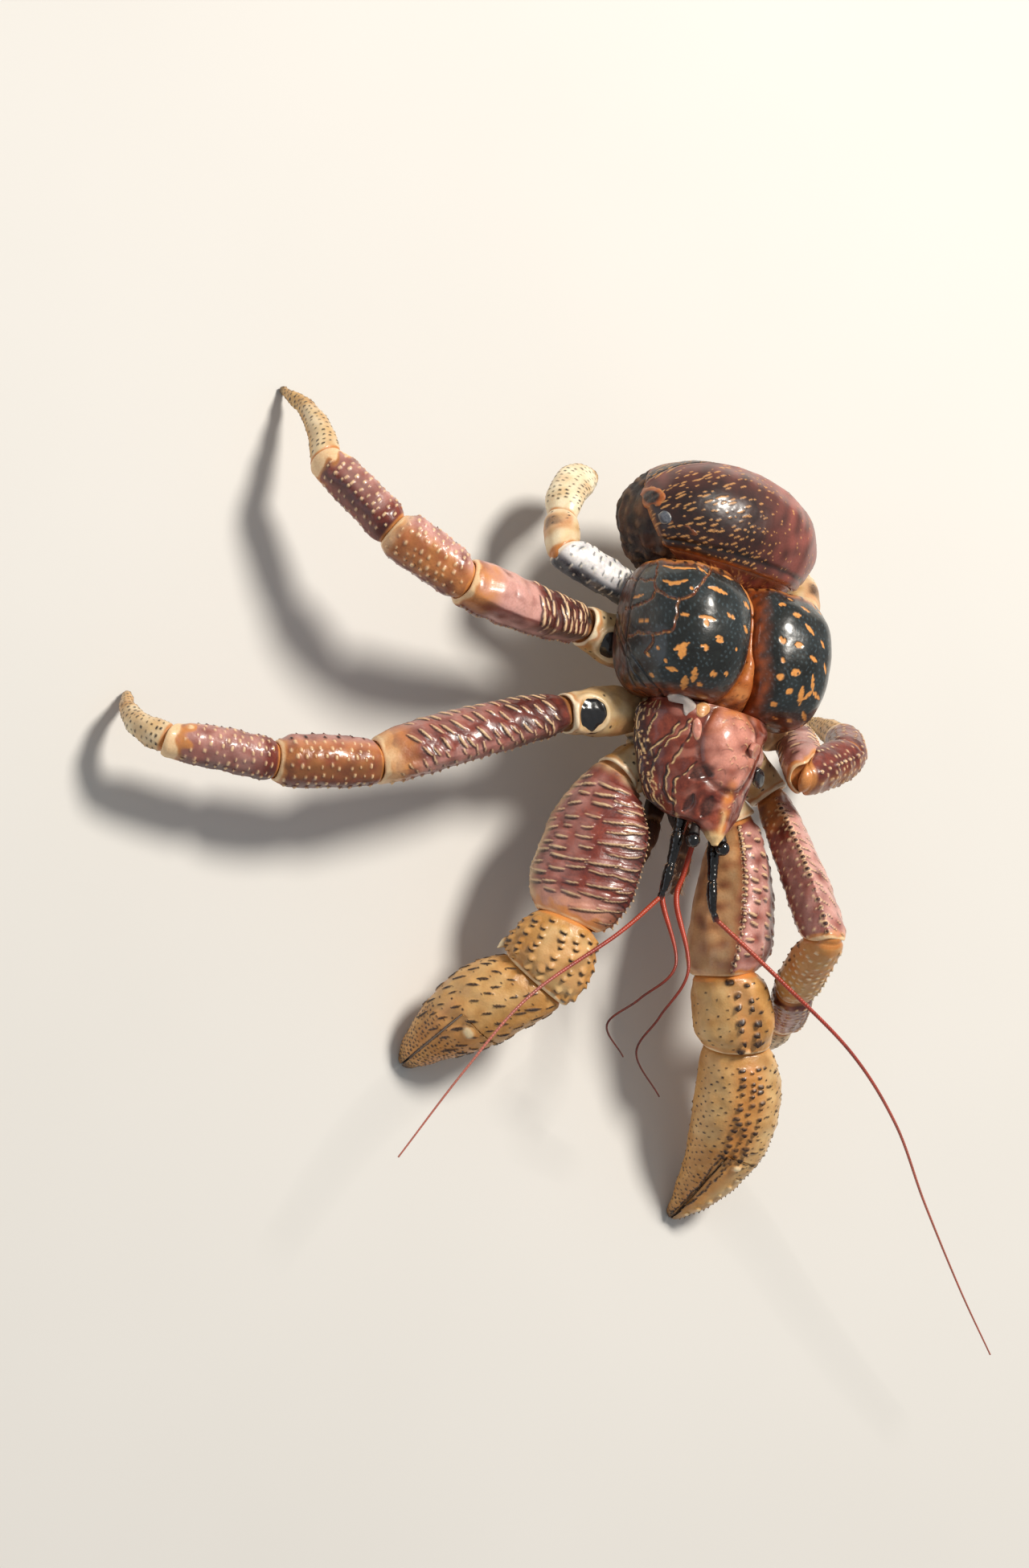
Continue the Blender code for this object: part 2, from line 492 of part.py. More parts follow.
def joint_run(before, joint, after, radius):
    """A joint's mitre plane, the way its outer corner points, a length's run past it, half its bend."""
    inward, outward = (joint - before).normalized(), (after - joint).normalized()
    half_bend = 0.5 * inward.angle(outward)
    run = radius * math.tan(half_bend) + JOINT_RUN
    return (inward + outward).normalized(), inward - outward, run, half_bend


def build_limb(prefix):
    """Every length of one limb, cut at its joints so that neighbours meet face to face."""
    kind, side = prefix.split("_")
    root_place, facing = ROOTS[kind]
    root, facing = body(mirrored(root_place, side)), body_way(mirrored(facing, side)).normalized()
    table = LIMBS[prefix]
    joints = [root] + [Vector(row[1]) for row in table]
    sides = CLAW_SIDES if kind == "claw" else LIMB_SIDES
    lengths = {}
    for index, (part, end, stations, up, bow, power) in enumerate(table):
        stations = scaled(stations, THINNER.get((prefix, part), 1.0))
        length = Length(joints[index], end, stations, up, bow, power)
        widest = max(stations[0][1:] + stations[-1][1:]) + JOINT_RUN
        cuts = []
        run_in = run_out = 0.0
        if index == 0:
            run_in = ROOT_RUN
            cuts.append((root + facing * GAP, -facing))
            cuts.append((body((0.0, 0.0, SKIRT - GAP)), body_way(UP)))
        else:
            plane, corner, run_in, bend = joint_run(*joints[index - 1:index + 2], widest)
            cuts.append((joints[index] + plane * (0.5 * GAP), -plane))
            if bend > SHARP_BEND:
                cuts.append((joints[index] + corner.normalized() * (widest - CORNER_CUT), corner))
        if index + 1 < len(table):
            plane, corner, run_out, bend = joint_run(*joints[index:index + 3], widest)
            cuts.append((joints[index + 1] - plane * (0.5 * GAP), plane))
            if bend > SHARP_BEND:
                cuts.append((joints[index + 1] + corner.normalized() * (widest - CORNER_CUT), corner))
        else:
            run_out = JOINT_RUN if end[2] == 0.0 else 0.0
            cuts.append((Vector(STRAIGHT), -Vector(UP)))
        mesh = length.solid(sides, run_in, run_out)
        for place, normal in cuts:
            trim(mesh, place, normal)
        lengths[part] = (length, cuts, mesh)
    return lengths


def split_chela(prefix, length, mesh):
    """The moving finger cut from one whole claw, and the wedge to cut out of the palm beside it."""
    hinge, side_sign = HINGE[prefix]
    side, _, forward = length.axes(hinge)
    across = side * side_sign
    place = length.centre(hinge) - across * HINGE_OFFSET
    tip = length.centre(1.0)
    gape_way = (tip - place).normalized()
    normal = (across - gape_way * across.dot(gape_way)).normalized()
    finger = mesh.copy()
    trim(finger, place + normal * GAPE * 0.5, -normal)
    trim(finger, place + gape_way * GAP, -gape_way)
    third = gape_way.cross(normal)
    reach = CUTTER_REACH
    corner = place - normal * GAPE * 0.5
    along, aside = gape_way * reach, normal * reach
    square = (corner, corner + along, corner + along + aside, corner + aside)
    return finger, skinned([[point + third * depth for point in square] for depth in (-reach, reach)])


def boolean(target, others, operation):
    """One Boolean of a node with a collection of closed pieces, applied, and the pieces removed."""
    group = bpy.data.collections.new("pieces")
    for other in others:
        group.objects.link(other)
    modifier = target.modifiers.new("joined", "BOOLEAN")
    modifier.operation = operation
    modifier.solver = "EXACT"
    modifier.operand_type = "COLLECTION"
    modifier.collection = group
    bpy.context.view_layer.update()
    shape = bpy.data.meshes.new_from_object(target.evaluated_get(bpy.context.evaluated_depsgraph_get()))
    target.modifiers.remove(modifier)
    target.data = shape
    for other in others:
        bpy.data.objects.remove(other)
    bpy.data.collections.remove(group)
    keep_largest(target)


def keep_largest(thing):
    """Keep only the node's largest closed surface."""
    mesh = bmesh.new()
    mesh.from_mesh(thing.data)
    left = set(mesh.verts)
    shells = []
    while left:
        stack = [left.pop()]
        shell = set(stack)
        while stack:
            for edge in stack.pop().link_edges:
                for vert in edge.verts:
                    if vert in left:
                        left.remove(vert)
                        shell.add(vert)
                        stack.append(vert)
        shells.append(shell)
    shells.sort(key=len, reverse=True)
    extra = [vert for shell in shells[1:] for vert in shell]
    bmesh.ops.delete(mesh, geom=extra, context="VERTS")
    bmesh.ops.dissolve_degenerate(mesh, edges=mesh.edges, dist=1e-6)
    bmesh.ops.triangulate(mesh, faces=mesh.faces)
    mesh.to_mesh(thing.data)
    mesh.free()


def loose(name, mesh):
    """A closed piece in the world's metres, for a Boolean."""
    bmesh.ops.transform(mesh, matrix=Matrix.Scale(MM, 4) @ Matrix.Translation(CENTRE), verts=mesh.verts)
    data = bpy.data.meshes.new(name)
    mesh.to_mesh(data)
    mesh.free()
    thing = bpy.data.objects.new(name, data)
    bpy.context.scene.collection.objects.link(thing)
    return thing


def smooth_route(points, steps):
    """Points on a Catmull-Rom curve through a route, the given number for each stretch."""
    route = [Vector(point) for point in points]
    route = [2.0 * route[0] - route[1]] + route + [2.0 * route[-1] - route[-2]]
    places = []
    for index in range(1, len(route) - 2):
        a, b, c, d = route[index - 1:index + 3]
        for step in range(steps):
            t = step / steps
            places.append(0.5 * (2.0 * b + (c - a) * t + (2.0 * a - 5.0 * b + 4.0 * c - d) * t * t
                                 + (3.0 * b - a - 3.0 * c + d) * t ** 3))
    places.append(route[-2])
    return places


def feeler(points, steps, near, far, sides):
    """A tapering tube along a route."""
    places = smooth_route(points, steps)
    rings = []
    for index, place in enumerate(places):
        forward = (places[min(index + 1, len(places) - 1)] - places[max(index - 1, 0)]).normalized()
        side = forward.cross(Vector(UP)).normalized()
        rise = side.cross(forward)
        radius = near + (far - near) * index / (len(places) - 1)
        turns = [2.0 * math.pi * turn / sides for turn in range(sides)]
        rings.append([place + (side * math.cos(turn) + rise * math.sin(turn)) * radius for turn in turns])
    return skinned(rings)


def build_lobe(side):
    """A gill chamber's lobe: a stack of scaled superellipse outlines, cut along the middle of the back."""
    unit = superellipse(LOBE_SIDES, (LOBE_POWER, LOBE_POWER))
    rings = []
    for height, share in LOBE_STACK:
        reach = LOBE_REACH * share
        outline = [(LOBE_CENTRE.x + reach.x * x, LOBE_CENTRE.y + reach.y * y, height) for x, y in unit]
        rings.append([body(mirrored(point, side)) for point in outline])
    mesh = skinned(rings)
    for near, far in zip(WEDGE_LINE, WEDGE_LINE[1:]):
        inward = Vector((near[0] - far[0], far[1] - near[1], 0.0))
        trim(mesh, body(mirrored((near[1], near[0], 0.0), side)), body_way(mirrored(inward, side)))
    trim(mesh, body((0.0, 0.0, 0.0)), body_way((0.0, -1.0, 0.0)))
    trim(mesh, body(BELLY_FOLD), body_way((0.0, 1.0, 0.0)))
    node("branchial_lobe_" + side, mesh, "shell_dark")


def build_wedge():
    """The strip between the lobes, wide at the head end, narrow at its waist."""
    rings = []
    for (place, half), top in zip(WEDGE_LINE, WEDGE_TOPS):
        half -= GAP
        rings.append([body((x, place, z)) for x, z in
                      ((-half, SKIRT), (half, SKIRT), (half, top - 1.0), (0.0, top), (-half, top - 1.0))])
    mesh = skinned(rings)
    trim(mesh, body((0.0, 0.0, 0.0)), body_way((0.0, -1.0, 0.0)))
    trim(mesh, body(BELLY_FOLD), body_way((0.0, 1.0, 0.0)))
    node("cardiac_wedge", mesh, "shell_tan")


def build_shield():
    """The head's shield, an arched body that runs out into the rostrum."""
    unit = superellipse(SHIELD_SIDES, SHIELD_POWERS)
    rings = []
    for place, half, top, bottom, middle in SHIELD:
        rise, depth = top - middle, middle - bottom
        rings.append([body((half * x, place, middle + (rise if z >= 0.0 else depth) * z)) for x, z in unit])
    mesh = skinned(rings)
    trim(mesh, body((0.0, -GAP, 0.0)), body_way((0.0, 1.0, 0.0)))
    trim(mesh, body((0.0, 0.0, SKIRT)), body_way((0.0, 0.0, -1.0)))
    node("cephalic_shield", mesh, "shell_wine")


def build_sternum():
    """The underside of the body, with a flat facet for every limb."""
    unit = superellipse(STERNUM_SIDES, STERNUM_POWERS)
    rings = []
    for place, half, bottom in STERNUM:
        depth = STERNUM_MIDDLE - bottom
        rings.append([body((half * x, place, STERNUM_MIDDLE + (STERNUM_RISE if z >= 0.0 else depth) * z))
                      for x, z in unit])
    mesh = skinned(rings)
    for place, facing in ROOTS.values():
        for side in ("left", "right"):
            trim(mesh, body(mirrored(place, side)), body_way(mirrored(facing, side)))
    trim(mesh, body((0.0, 0.0, SKIRT - GAP)), body_way(UP))
    trim(mesh, body(BELLY_FOLD), body_way((0.0, 1.0, 0.0)))
    node("sternum", mesh, "limb_straw")


def belly_solid(grow):
    """The abdomen as one rounded body: superellipse rings set along y, larger by the given amount."""
    wide, long, above, below = BELLY_REACH
    unit = superellipse(BELLY_SIDES, BELLY_POWERS)
    rings = []
    for index in range(BELLY_RINGS + 1):
        angle = math.pi * (BELLY_END + (1.0 - 2.0 * BELLY_END) * index / BELLY_RINGS)
        share = math.sin(angle) ** BELLY_BLUNTNESS
        place = BELLY_CENTRE.y - (long + grow) * math.cos(angle)
        half, rise, depth = (share * (reach + grow) for reach in (wide, above, below))
        rings.append([body((half * x, place, BELLY_CENTRE.z + (rise if z >= 0.0 else depth) * z))
                      for x, z in unit])
    mesh = skinned(rings)
    trim(mesh, body(BELLY_FOLD + Vector((0.0, GAP, 0.0))), body_way((0.0, -1.0, 0.0)))
    return mesh


def fan_way(degrees):
    """The way a plane through the fan's hinge line faces, turned from the front over the top."""
    angle = math.radians(degrees)
    return body_way((0.0, math.sin(angle), math.cos(angle)))


def build_abdomen():
    """The soft belly, and over it the slices that carry the hard plates of the back."""
    hinge = body(BELLY_HINGE)
    lid = body_way((0.0, math.sin(BELLY_SLOPE), math.cos(BELLY_SLOPE)))
    mesh = belly_solid(0.0)
    trim(mesh, body(BELLY_LID) - lid * GAP, lid)
    trim(mesh, body((0.0, 0.0, TAIL_FLAT)), body_way((0.0, 0.0, -1.0)))
    node("abdomen", mesh, "hide_dark")
    for index, far in enumerate(TERGITE_CUTS):
        mesh = belly_solid(TERGITE_LIFT[index])
        trim(mesh, body(BELLY_LID), -lid)
        if index + 1 < len(TERGITE_CUTS):
            trim(mesh, hinge, fan_way(far))
        if index > 0:
            near = fan_way(TERGITE_CUTS[index - 1])
            trim(mesh, hinge + near * GAP, -near)
        node("tergite_%d" % (index + 1), mesh, "shell_wine")


def build_head():
    """Eyes, feelers and mouth limbs, each with a slightly larger piece that hollows out its socket."""
    sockets = {"cephalic_shield": [], "sternum": []}
    for side in ("right", "left"):
        root, tip = body(mirrored(STALK_ROOT, side)), body(mirrored(STALK_TIP, side))
        way = (tip - root).normalized()
        for grow in (0.0, GAP):
            stations = scaled(STALK_STATIONS, 1.0 + grow / STALK_GIRTH)
            mesh = Length(root - way * grow, tip, stations, UP, STRAIGHT, ROUND).solid(STALK_SIDES, 0.0, 0.0)
            if grow:
                sockets["cephalic_shield"].append(loose("socket", mesh))
            else:
                node("eyestalk_" + side, mesh, "hide_dark")
        mesh = bmesh.new()
        bmesh.ops.create_uvsphere(mesh, u_segments=EYE_SEGMENTS[0], v_segments=EYE_SEGMENTS[1],
                                  radius=EYE_RADIUS)
        bmesh.ops.translate(mesh, vec=tip + way * (EYE_RADIUS * EYE_SEAT), verts=mesh.verts)
        trim(mesh, tip + way * GAP, -way)
        node("eye_" + side, mesh, "eye_black")
        for name, table, host, steps, near, far, sides, finish in FEELERS:
            route = [Vector(point) for point in table[side]]
            mesh = feeler(route, steps, near, far, sides)
            if name == "antenna":
                stub = Vector(ANTENNA_BASE[side][-1])
                cut = (stub - Vector(ANTENNA_BASE[side][-2])).normalized()
                trim(mesh, stub + cut * GAP, -cut)
            node(name + "_" + side, mesh, finish)
            if host:
                route[0] -= (route[1] - route[0]).normalized() * GAP
                grow = GAP * SOCKET_GROWTH
                sockets[host].append(loose("socket", feeler(route, steps, near + grow, far + grow, sides)))
    for host, pieces in sockets.items():
        boolean(bpy.data.objects[host], pieces, "DIFFERENCE")


def build_tail():
    """The small tail fan, folded forward under the end of the abdomen."""
    rings = []
    for place, half, thick in TAIL_STATIONS:
        middle = Vector((0.0, place, TAIL_FLAT - TAIL_RISE))
        rings.append([body(middle + Vector((half * x, 0.0, (2.0 * TAIL_RISE if z >= 0.0 else thick) * z)))
                      for x, z in superellipse(TAIL_SIDES, TAIL_POWERS)])
    mesh = skinned(rings)
    trim(mesh, body((0.0, 0.0, TAIL_FLAT - GAP)), body_way(UP))
    node("tail_fan", mesh, "limb_straw")


def main():
    """Build every node."""
    for thing in list(bpy.data.objects):
        bpy.data.objects.remove(thing)
    for side in ("right", "left"):
        build_lobe(side)
    build_wedge()
    build_shield()
    build_sternum()
    build_abdomen()
    build_tail()
    build_head()
    for prefix in LIMBS:
        finishes = CLAW_FINISH if prefix.startswith("claw") else LIMB_FINISH
        for part, (length, cuts, mesh) in build_limb(prefix).items():
            if part == "chela":
                finger, cutter = split_chela(prefix, length, mesh)
                palm = node(prefix + "_palm", mesh, finishes["palm"])
                dress(prefix, "palm", length, cuts, palm)
                boolean(palm, [loose("gape", cutter)], "DIFFERENCE")
                node(prefix + "_finger", finger, finishes["finger"])
            else:
                thing = node(prefix + "_" + part, mesh, finishes.get(part, "limb_plum"))
                dress(prefix, part, length, cuts, thing)


main()
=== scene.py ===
"""Looks of the coconut crab: finer shell, claws, legs, eyes and feelers dressed over its solids.

Every piece is a grid of points worked out in millimetres in the crab's own frame (floor at 0, head
down the -Y axis, left side +X), raised by strokes laid on its skin, and put over the solid it
replaces. The strokes also leave their colour on the skin as attributes that the finishes read.
"""
import math

import bpy
import numpy as np
from mathutils import Matrix, Vector


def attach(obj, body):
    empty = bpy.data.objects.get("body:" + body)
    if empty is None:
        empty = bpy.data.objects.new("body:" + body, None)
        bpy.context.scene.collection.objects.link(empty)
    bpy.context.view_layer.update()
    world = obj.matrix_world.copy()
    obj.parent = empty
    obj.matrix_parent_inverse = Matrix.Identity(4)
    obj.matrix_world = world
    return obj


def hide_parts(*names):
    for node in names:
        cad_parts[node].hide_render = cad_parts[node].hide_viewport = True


MM = 0.001
SEED = 5505
CENTRE = np.array((23.4, 76.0, 0.0))
UP = np.array((0.0, 0.0, 1.0))
STILL = (0.0, 0.0, 0.0)

# The picture: its size, the camera's turns about the crab, and the crab's place in the frame
PICTURE = (1280.0, 1951.0)
SENSOR = 36.0
FOCAL_PX = 5263.0
MM_A_PX = 0.38
DISTANCE = 2000.0
CAMERA_TURN = math.radians(32.0)
CAMERA_DROP = math.radians(10.0)
CAMERA_ROLL = math.radians(8.0)
AIM = np.array((0.0, 32.0, 78.0))
AIM_PX = (893.0, 805.0)

# A stroke in three segments narrows to its ends: share of its radius at the start and end of each
TAPER = np.array(((0.4, 1.0), (1.0, 1.0), (1.0, 0.4)))

# Body: its height, its roll to the left, and the level of the carapace's lower edge
BODY_HEIGHT = 78.0
BODY_ROLL = math.radians(8.0)
SKIRT = -12.0

# Carapace lobes over the gills, as half a superellipsoid each, and the wedge between them
LOBE_CENTRE = (27.0, 31.5)
LOBE_REACH = (30.5, 36.0)
LOBE_RISE = 36.0
LOBE_OUTLINE = 2.7
LOBE_DOME = 2.2
LOBE_LEAST = -0.33
WEDGE = ((0.0, 11.0), (30.0, 2.0), (45.0, 2.0), (64.0, 4.5))
WEDGE_CREST = ((0.0, 14.5), (4.0, 19.6), (8.0, 22.8), (14.0, 25.2), (20.0, 25.4), (30.0, 23.2),
               (45.0, 21.6), (54.0, 17.6), (60.0, 11.5), (64.0, 8.0))

# Shield of the head: place along, half width, top, bottom, height of its widest line
SHIELD = ((-1.0, 34.0, 19.0, -12.0, -3.0), (-8.0, 35.5, 21.5, -14.0, -4.0),
          (-20.0, 33.5, 23.0, -16.0, -4.0), (-33.0, 28.5, 22.0, -17.0, -3.0),
          (-44.0, 23.5, 20.5, -16.0, -1.0), (-51.0, 18.5, 19.5, -8.0, 2.5),
          (-55.0, 11.5, 19.0, 6.0, 11.5), (-58.5, 5.0, 18.5, 11.0, 15.0), (-65.0, 1.0, 17.5, 14.5, 16.0))
SHIELD_POWERS = (2.1, 3.0)
DOME_MIDDLE = (-2.0, -18.0)
DOME_REACH = (16.5, 21.0)
DOME_RISE = 3.6
FLARE = 4.5
CARAPACE_REAR = 62.0

# Underside: place along, half width, bottom
STERNUM = ((-46.0, 9.0, -22.0), (-40.0, 15.0, -30.0), (-22.0, 27.0, -37.0), (5.0, 32.0, -39.0),
           (30.0, 33.0, -38.0), (52.0, 30.0, -34.0), (64.0, 20.0, -28.0))

# Abdomen: middle, reach to the side, along, above and below, and the hinge line of its fan of plates
BELLY_CENTRE = (88.0, -16.0)
BELLY_REACH = (53.0, 32.0, 42.0, 30.0)
BELLY_POWERS = (2.3, 2.2)
BELLY_BLUNTNESS = 0.85
BELLY_HINGE = (75.0, -30.0)
BELLY_LID = (83.0, -12.0)
BELLY_SLOPE = math.radians(25.0)
TAIL_FLAT = -41.0
TAIL = ((108.0, 7.0, 1.5), (102.0, 13.0, 3.0), (90.0, 15.0, 4.0), (78.0, 11.0, 3.5), (71.0, 4.0, 2.0))

# Stations of a limb's length: place along it, half width, height above and below its middle line
BASE = ((0.0, 10.0, 10.0, 10.0), (0.35, 12.0, 12.0, 12.0), (0.75, 10.5, 10.5, 10.5), (1.0, 9.0, 9.0, 9.0))
MERUS = ((0.0, 8.0, 8.0, 8.0), (0.12, 10.0, 11.0, 10.5), (0.45, 11.5, 14.0, 12.5), (0.8, 12.5, 14.5, 13.0),
         (0.94, 12.0, 12.5, 12.0), (1.0, 10.0, 10.0, 10.0))
CARPUS = ((0.0, 9.0, 9.0, 9.0), (0.2, 11.0, 11.5, 10.5), (0.6, 12.0, 12.0, 11.0), (0.86, 12.0, 11.5, 10.5),
          (1.0, 8.5, 8.5, 8.5))
PROPODUS = ((0.0, 8.0, 8.0, 8.0), (0.15, 9.8, 10.0, 9.0), (0.5, 9.6, 9.8, 9.0), (0.86, 9.0, 8.8, 8.4),
            (1.0, 7.2, 7.2, 7.2))
DACTYL = ((0.0, 6.6, 6.6, 6.6), (0.18, 6.4, 6.6, 6.2), (0.45, 5.2, 5.4, 5.0), (0.7, 3.8, 4.0, 3.8),
          (0.88, 2.6, 2.6, 2.6), (1.0, 1.7, 1.7, 1.7))
SMALL_MERUS = ((0.0, 6.0, 6.0, 6.0), (0.3, 8.0, 8.5, 8.0), (0.7, 8.8, 9.0, 8.5), (0.92, 8.4, 8.6, 8.2),
               (1.0, 6.5, 6.5, 6.5))
SMALL_CARPUS = ((0.0, 6.5, 6.5, 6.5), (0.4, 8.4, 8.4, 8.0), (0.8, 8.4, 8.2, 8.0), (1.0, 6.2, 6.2, 6.2))
HAND = ((0.0, 6.4, 5.0, 5.0), (0.3, 9.2, 5.4, 5.2), (0.6, 9.4, 5.0, 4.8), (0.85, 6.6, 3.6, 3.6),
        (1.0, 2.4, 1.8, 1.8))
CLAW_BASE = ((0.0, 10.5, 11.0, 11.0), (0.5, 11.5, 12.0, 12.0), (1.0, 9.5, 10.5, 10.0))
PADDLE = ((0.0, 8.0, 10.5, 10.0), (0.15, 10.5, 18.5, 16.0), (0.42, 13.0, 26.0, 23.0),
          (0.72, 14.0, 27.0, 23.5), (0.92, 13.0, 22.0, 19.5), (1.0, 11.0, 16.0, 14.5))
KEELED_MERUS = ((0.0, 9.0, 10.0, 9.0), (0.15, 13.5, 15.0, 12.0), (0.5, 19.0, 21.0, 15.0),
                (0.8, 20.5, 22.0, 16.0), (0.94, 18.5, 18.0, 15.0), (1.0, 14.5, 14.0, 12.5))
RIGHT_CARPUS = ((0.0, 13.5, 12.0, 12.0), (0.25, 18.5, 14.5, 13.5), (0.7, 21.5, 16.0, 14.5),
                (1.0, 17.5, 13.0, 12.5))
LEFT_CARPUS = ((0.0, 14.5, 13.5, 13.0), (0.25, 18.0, 16.5, 15.5), (0.7, 19.5, 17.5, 16.5),
               (1.0, 16.0, 14.5, 14.0))
RIGHT_CHELA = ((0.0, 15.5, 12.0, 12.0), (0.15, 18.5, 14.5, 14.5), (0.35, 19.5, 15.5, 15.0),
               (0.55, 17.0, 13.5, 13.0), (0.7, 13.5, 10.5, 10.0), (0.85, 9.0, 7.5, 7.0),
               (0.95, 5.2, 4.6, 4.4), (1.0, 2.6, 2.4, 2.4))
LEFT_CHELA = ((0.0, 14.5, 13.0, 13.0), (0.12, 19.0, 16.5, 16.0), (0.3, 21.0, 17.5, 17.0),
              (0.5, 19.5, 15.5, 15.0), (0.65, 16.0, 12.5, 12.0), (0.8, 11.5, 9.2, 9.0),
              (0.92, 6.6, 5.8, 5.6), (1.0, 2.8, 2.6, 2.6))
ROUND = (2.2, 2.2)
KEELED = (1.55, 2.4)

# Where the limbs leave the underside (left side, body frame) and the way each facet faces
ROOTS = {
    "claw": ((15.0, -26.0, -22.0), (0.70, -0.71, 0.0)),
    "leg2": ((28.0, -4.0, -24.0), (0.96, -0.28, 0.0)),
    "leg3": ((30.0, 24.0, -24.0), (1.0, 0.0, 0.0)),
    "leg4": ((26.0, 48.0, -21.0), (0.97, 0.24, 0.0)),
}

# Each limb from the underside out: length, far joint, stations, share of them, way up, bow, powers
LIMBS = {
    "claw_right": (
        ("base", (-34.0, -36.0, 58.0), CLAW_BASE, 1.0, UP, STILL, ROUND),
        ("merus", (-49.0, -108.0, 55.0), PADDLE, 1.0, (0.70, 0.0, 0.71), (-2.0, 0.0, 2.0), KEELED),
        ("carpus", (-55.0, -137.0, 46.0), RIGHT_CARPUS, 1.0, (-0.5, -0.2, 0.83), (0.0, 0.0, 2.0), ROUND),
        ("chela", (-93.0, -183.0, 0.0), RIGHT_CHELA, 1.0, (-0.52, -0.17, 0.83), (-5.0, 2.0, 3.0), ROUND)),
    "claw_left": (
        ("base", (38.0, -42.0, 54.0), CLAW_BASE, 1.0, UP, STILL, ROUND),
        ("merus", (42.0, -116.0, 58.0), KEELED_MERUS, 1.0, (-0.40, 0.0, 0.92), (3.0, 0.0, 1.0), KEELED),
        ("carpus", (60.0, -146.0, 49.0), LEFT_CARPUS, 1.0, (-0.40, 0.0, 0.92), (0.0, 0.0, 2.0), ROUND),
        ("chela", (69.0, -229.0, 0.0), LEFT_CHELA, 1.0, (-0.30, 0.0, 0.95), (11.0, -2.0, 7.0), ROUND)),
    "leg2_right": (
        ("base", (-71.0, -15.0, 64.0), BASE, 1.0, UP, STILL, ROUND),
        ("merus", (-161.0, -57.0, 54.0), MERUS, 1.0, (0.0, -0.55, 0.84), (0.0, 2.0, 3.0), KEELED),
        ("carpus", (-209.0, -66.0, 46.0), CARPUS, 1.0, (0.0, -0.5, 0.87), (0.0, 0.0, 1.5), ROUND),
        ("propodus", (-260.0, -67.0, 40.0), PROPODUS, 1.0, (0.0, -0.3, 0.95), (0.0, 0.0, 1.5), ROUND),
        ("dactyl", (-264.0, -43.0, 0.0), DACTYL, 1.0, (-0.9, 0.0, 0.4), (-9.0, -4.0, 5.0), ROUND)),
    "leg3_right": (
        ("base", (-65.0, 29.0, 60.0), BASE, 1.0, UP, STILL, ROUND),
        ("merus", (-142.0, 30.0, 76.0), MERUS, 1.0, (0.0, -0.55, 0.84), (0.0, -2.0, 2.0), KEELED),
        ("carpus", (-176.0, 47.0, 64.0), CARPUS, 1.0, (0.0, -0.3, 0.95), (0.0, 0.0, 1.5), ROUND),
        ("propodus", (-204.5, 76.0, 42.0), PROPODUS, 1.0, (0.0, 0.2, 0.95), (0.0, 0.0, 1.5), ROUND),
        ("dactyl", (-210.0, 115.0, 0.0), DACTYL, 1.0, (0.0, 0.6, 0.8), (2.0, 2.0, 6.0), ROUND)),
    "leg4_right": (
        ("merus", (-80.0, 62.0, 57.0), SMALL_MERUS, 1.0, UP, (0.0, -1.0, 2.0), ROUND),
        ("carpus", (-75.0, 80.0, 44.0), SMALL_CARPUS, 1.0, (-0.6, 0.3, 0.7), STILL, ROUND),
        ("hand", (-49.0, 110.0, 28.0), HAND, 1.0, (-0.5, 0.0, 0.86), (-6.0, 4.0, 2.0), ROUND)),
    "leg2_left": (
        ("base", (58.0, -26.0, 54.0), BASE, 1.0, UP, STILL, ROUND),
        ("merus", (66.0, -97.0, 102.0), MERUS, 0.88, (-0.5, 0.2, 0.84), (2.0, 0.0, 0.0), KEELED),
        ("carpus", (76.0, -118.0, 68.0), CARPUS, 0.88, (0.0, -1.0, 0.2), STILL, ROUND),
        ("propodus", (98.0, -128.0, 32.0), PROPODUS, 1.0, (0.2, -1.0, 0.0), (1.0, 0.0, 1.0), ROUND),
        ("dactyl", (106.0, -138.0, 0.0), DACTYL, 1.0, (0.3, -1.0, 0.0), (2.0, -3.0, 0.0), ROUND)),
    "leg3_left": (
        ("base", (66.0, 11.0, 46.0), BASE, 1.0, UP, STILL, ROUND),
        ("merus", (51.0, -20.0, 91.0), MERUS, 0.84, (0.3, -0.72, -0.38), (2.0, 0.0, 0.0), KEELED),
        ("carpus", (82.0, -4.0, 78.0), CARPUS, 0.88, (0.3, -0.6, 0.7), STILL, ROUND),
        ("propodus", (107.0, 14.0, 38.0), PROPODUS, 1.0, (0.9, 0.0, 0.3), (1.0, 0.0, 1.0), ROUND),
        ("dactyl", (112.0, 28.0, 0.0), DACTYL, 1.0, (1.0, 0.0, 0.2), (2.0, 1.0, 0.0), ROUND)),
    "leg4_left": (
        ("merus", (64.0, 62.0, 54.0), SMALL_MERUS, 1.0, UP, (0.0, -1.0, 2.0), ROUND),
        ("carpus", (74.0, 84.0, 36.0), SMALL_CARPUS, 1.0, (0.7, 0.3, 0.6), STILL, ROUND),
        ("hand", (66.0, 108.0, 0.0), HAND, 1.0, (0.9, 0.2, 0.3), (3.0, 2.0, 2.0), ROUND)),
}
HINGE = {"claw_right": 0.44, "claw_left": 0.52}
HINGE_OFFSET = 1.5
GAPE = 0.7
GRAIN = {"claw_right": 0.48, "claw_left": 0.51, "leg2_right": 0.55, "leg3_right": 0.55, "leg4_right": 0.58,
         "leg2_left": 0.64, "leg3_left": 0.70, "leg4_left": 0.70}

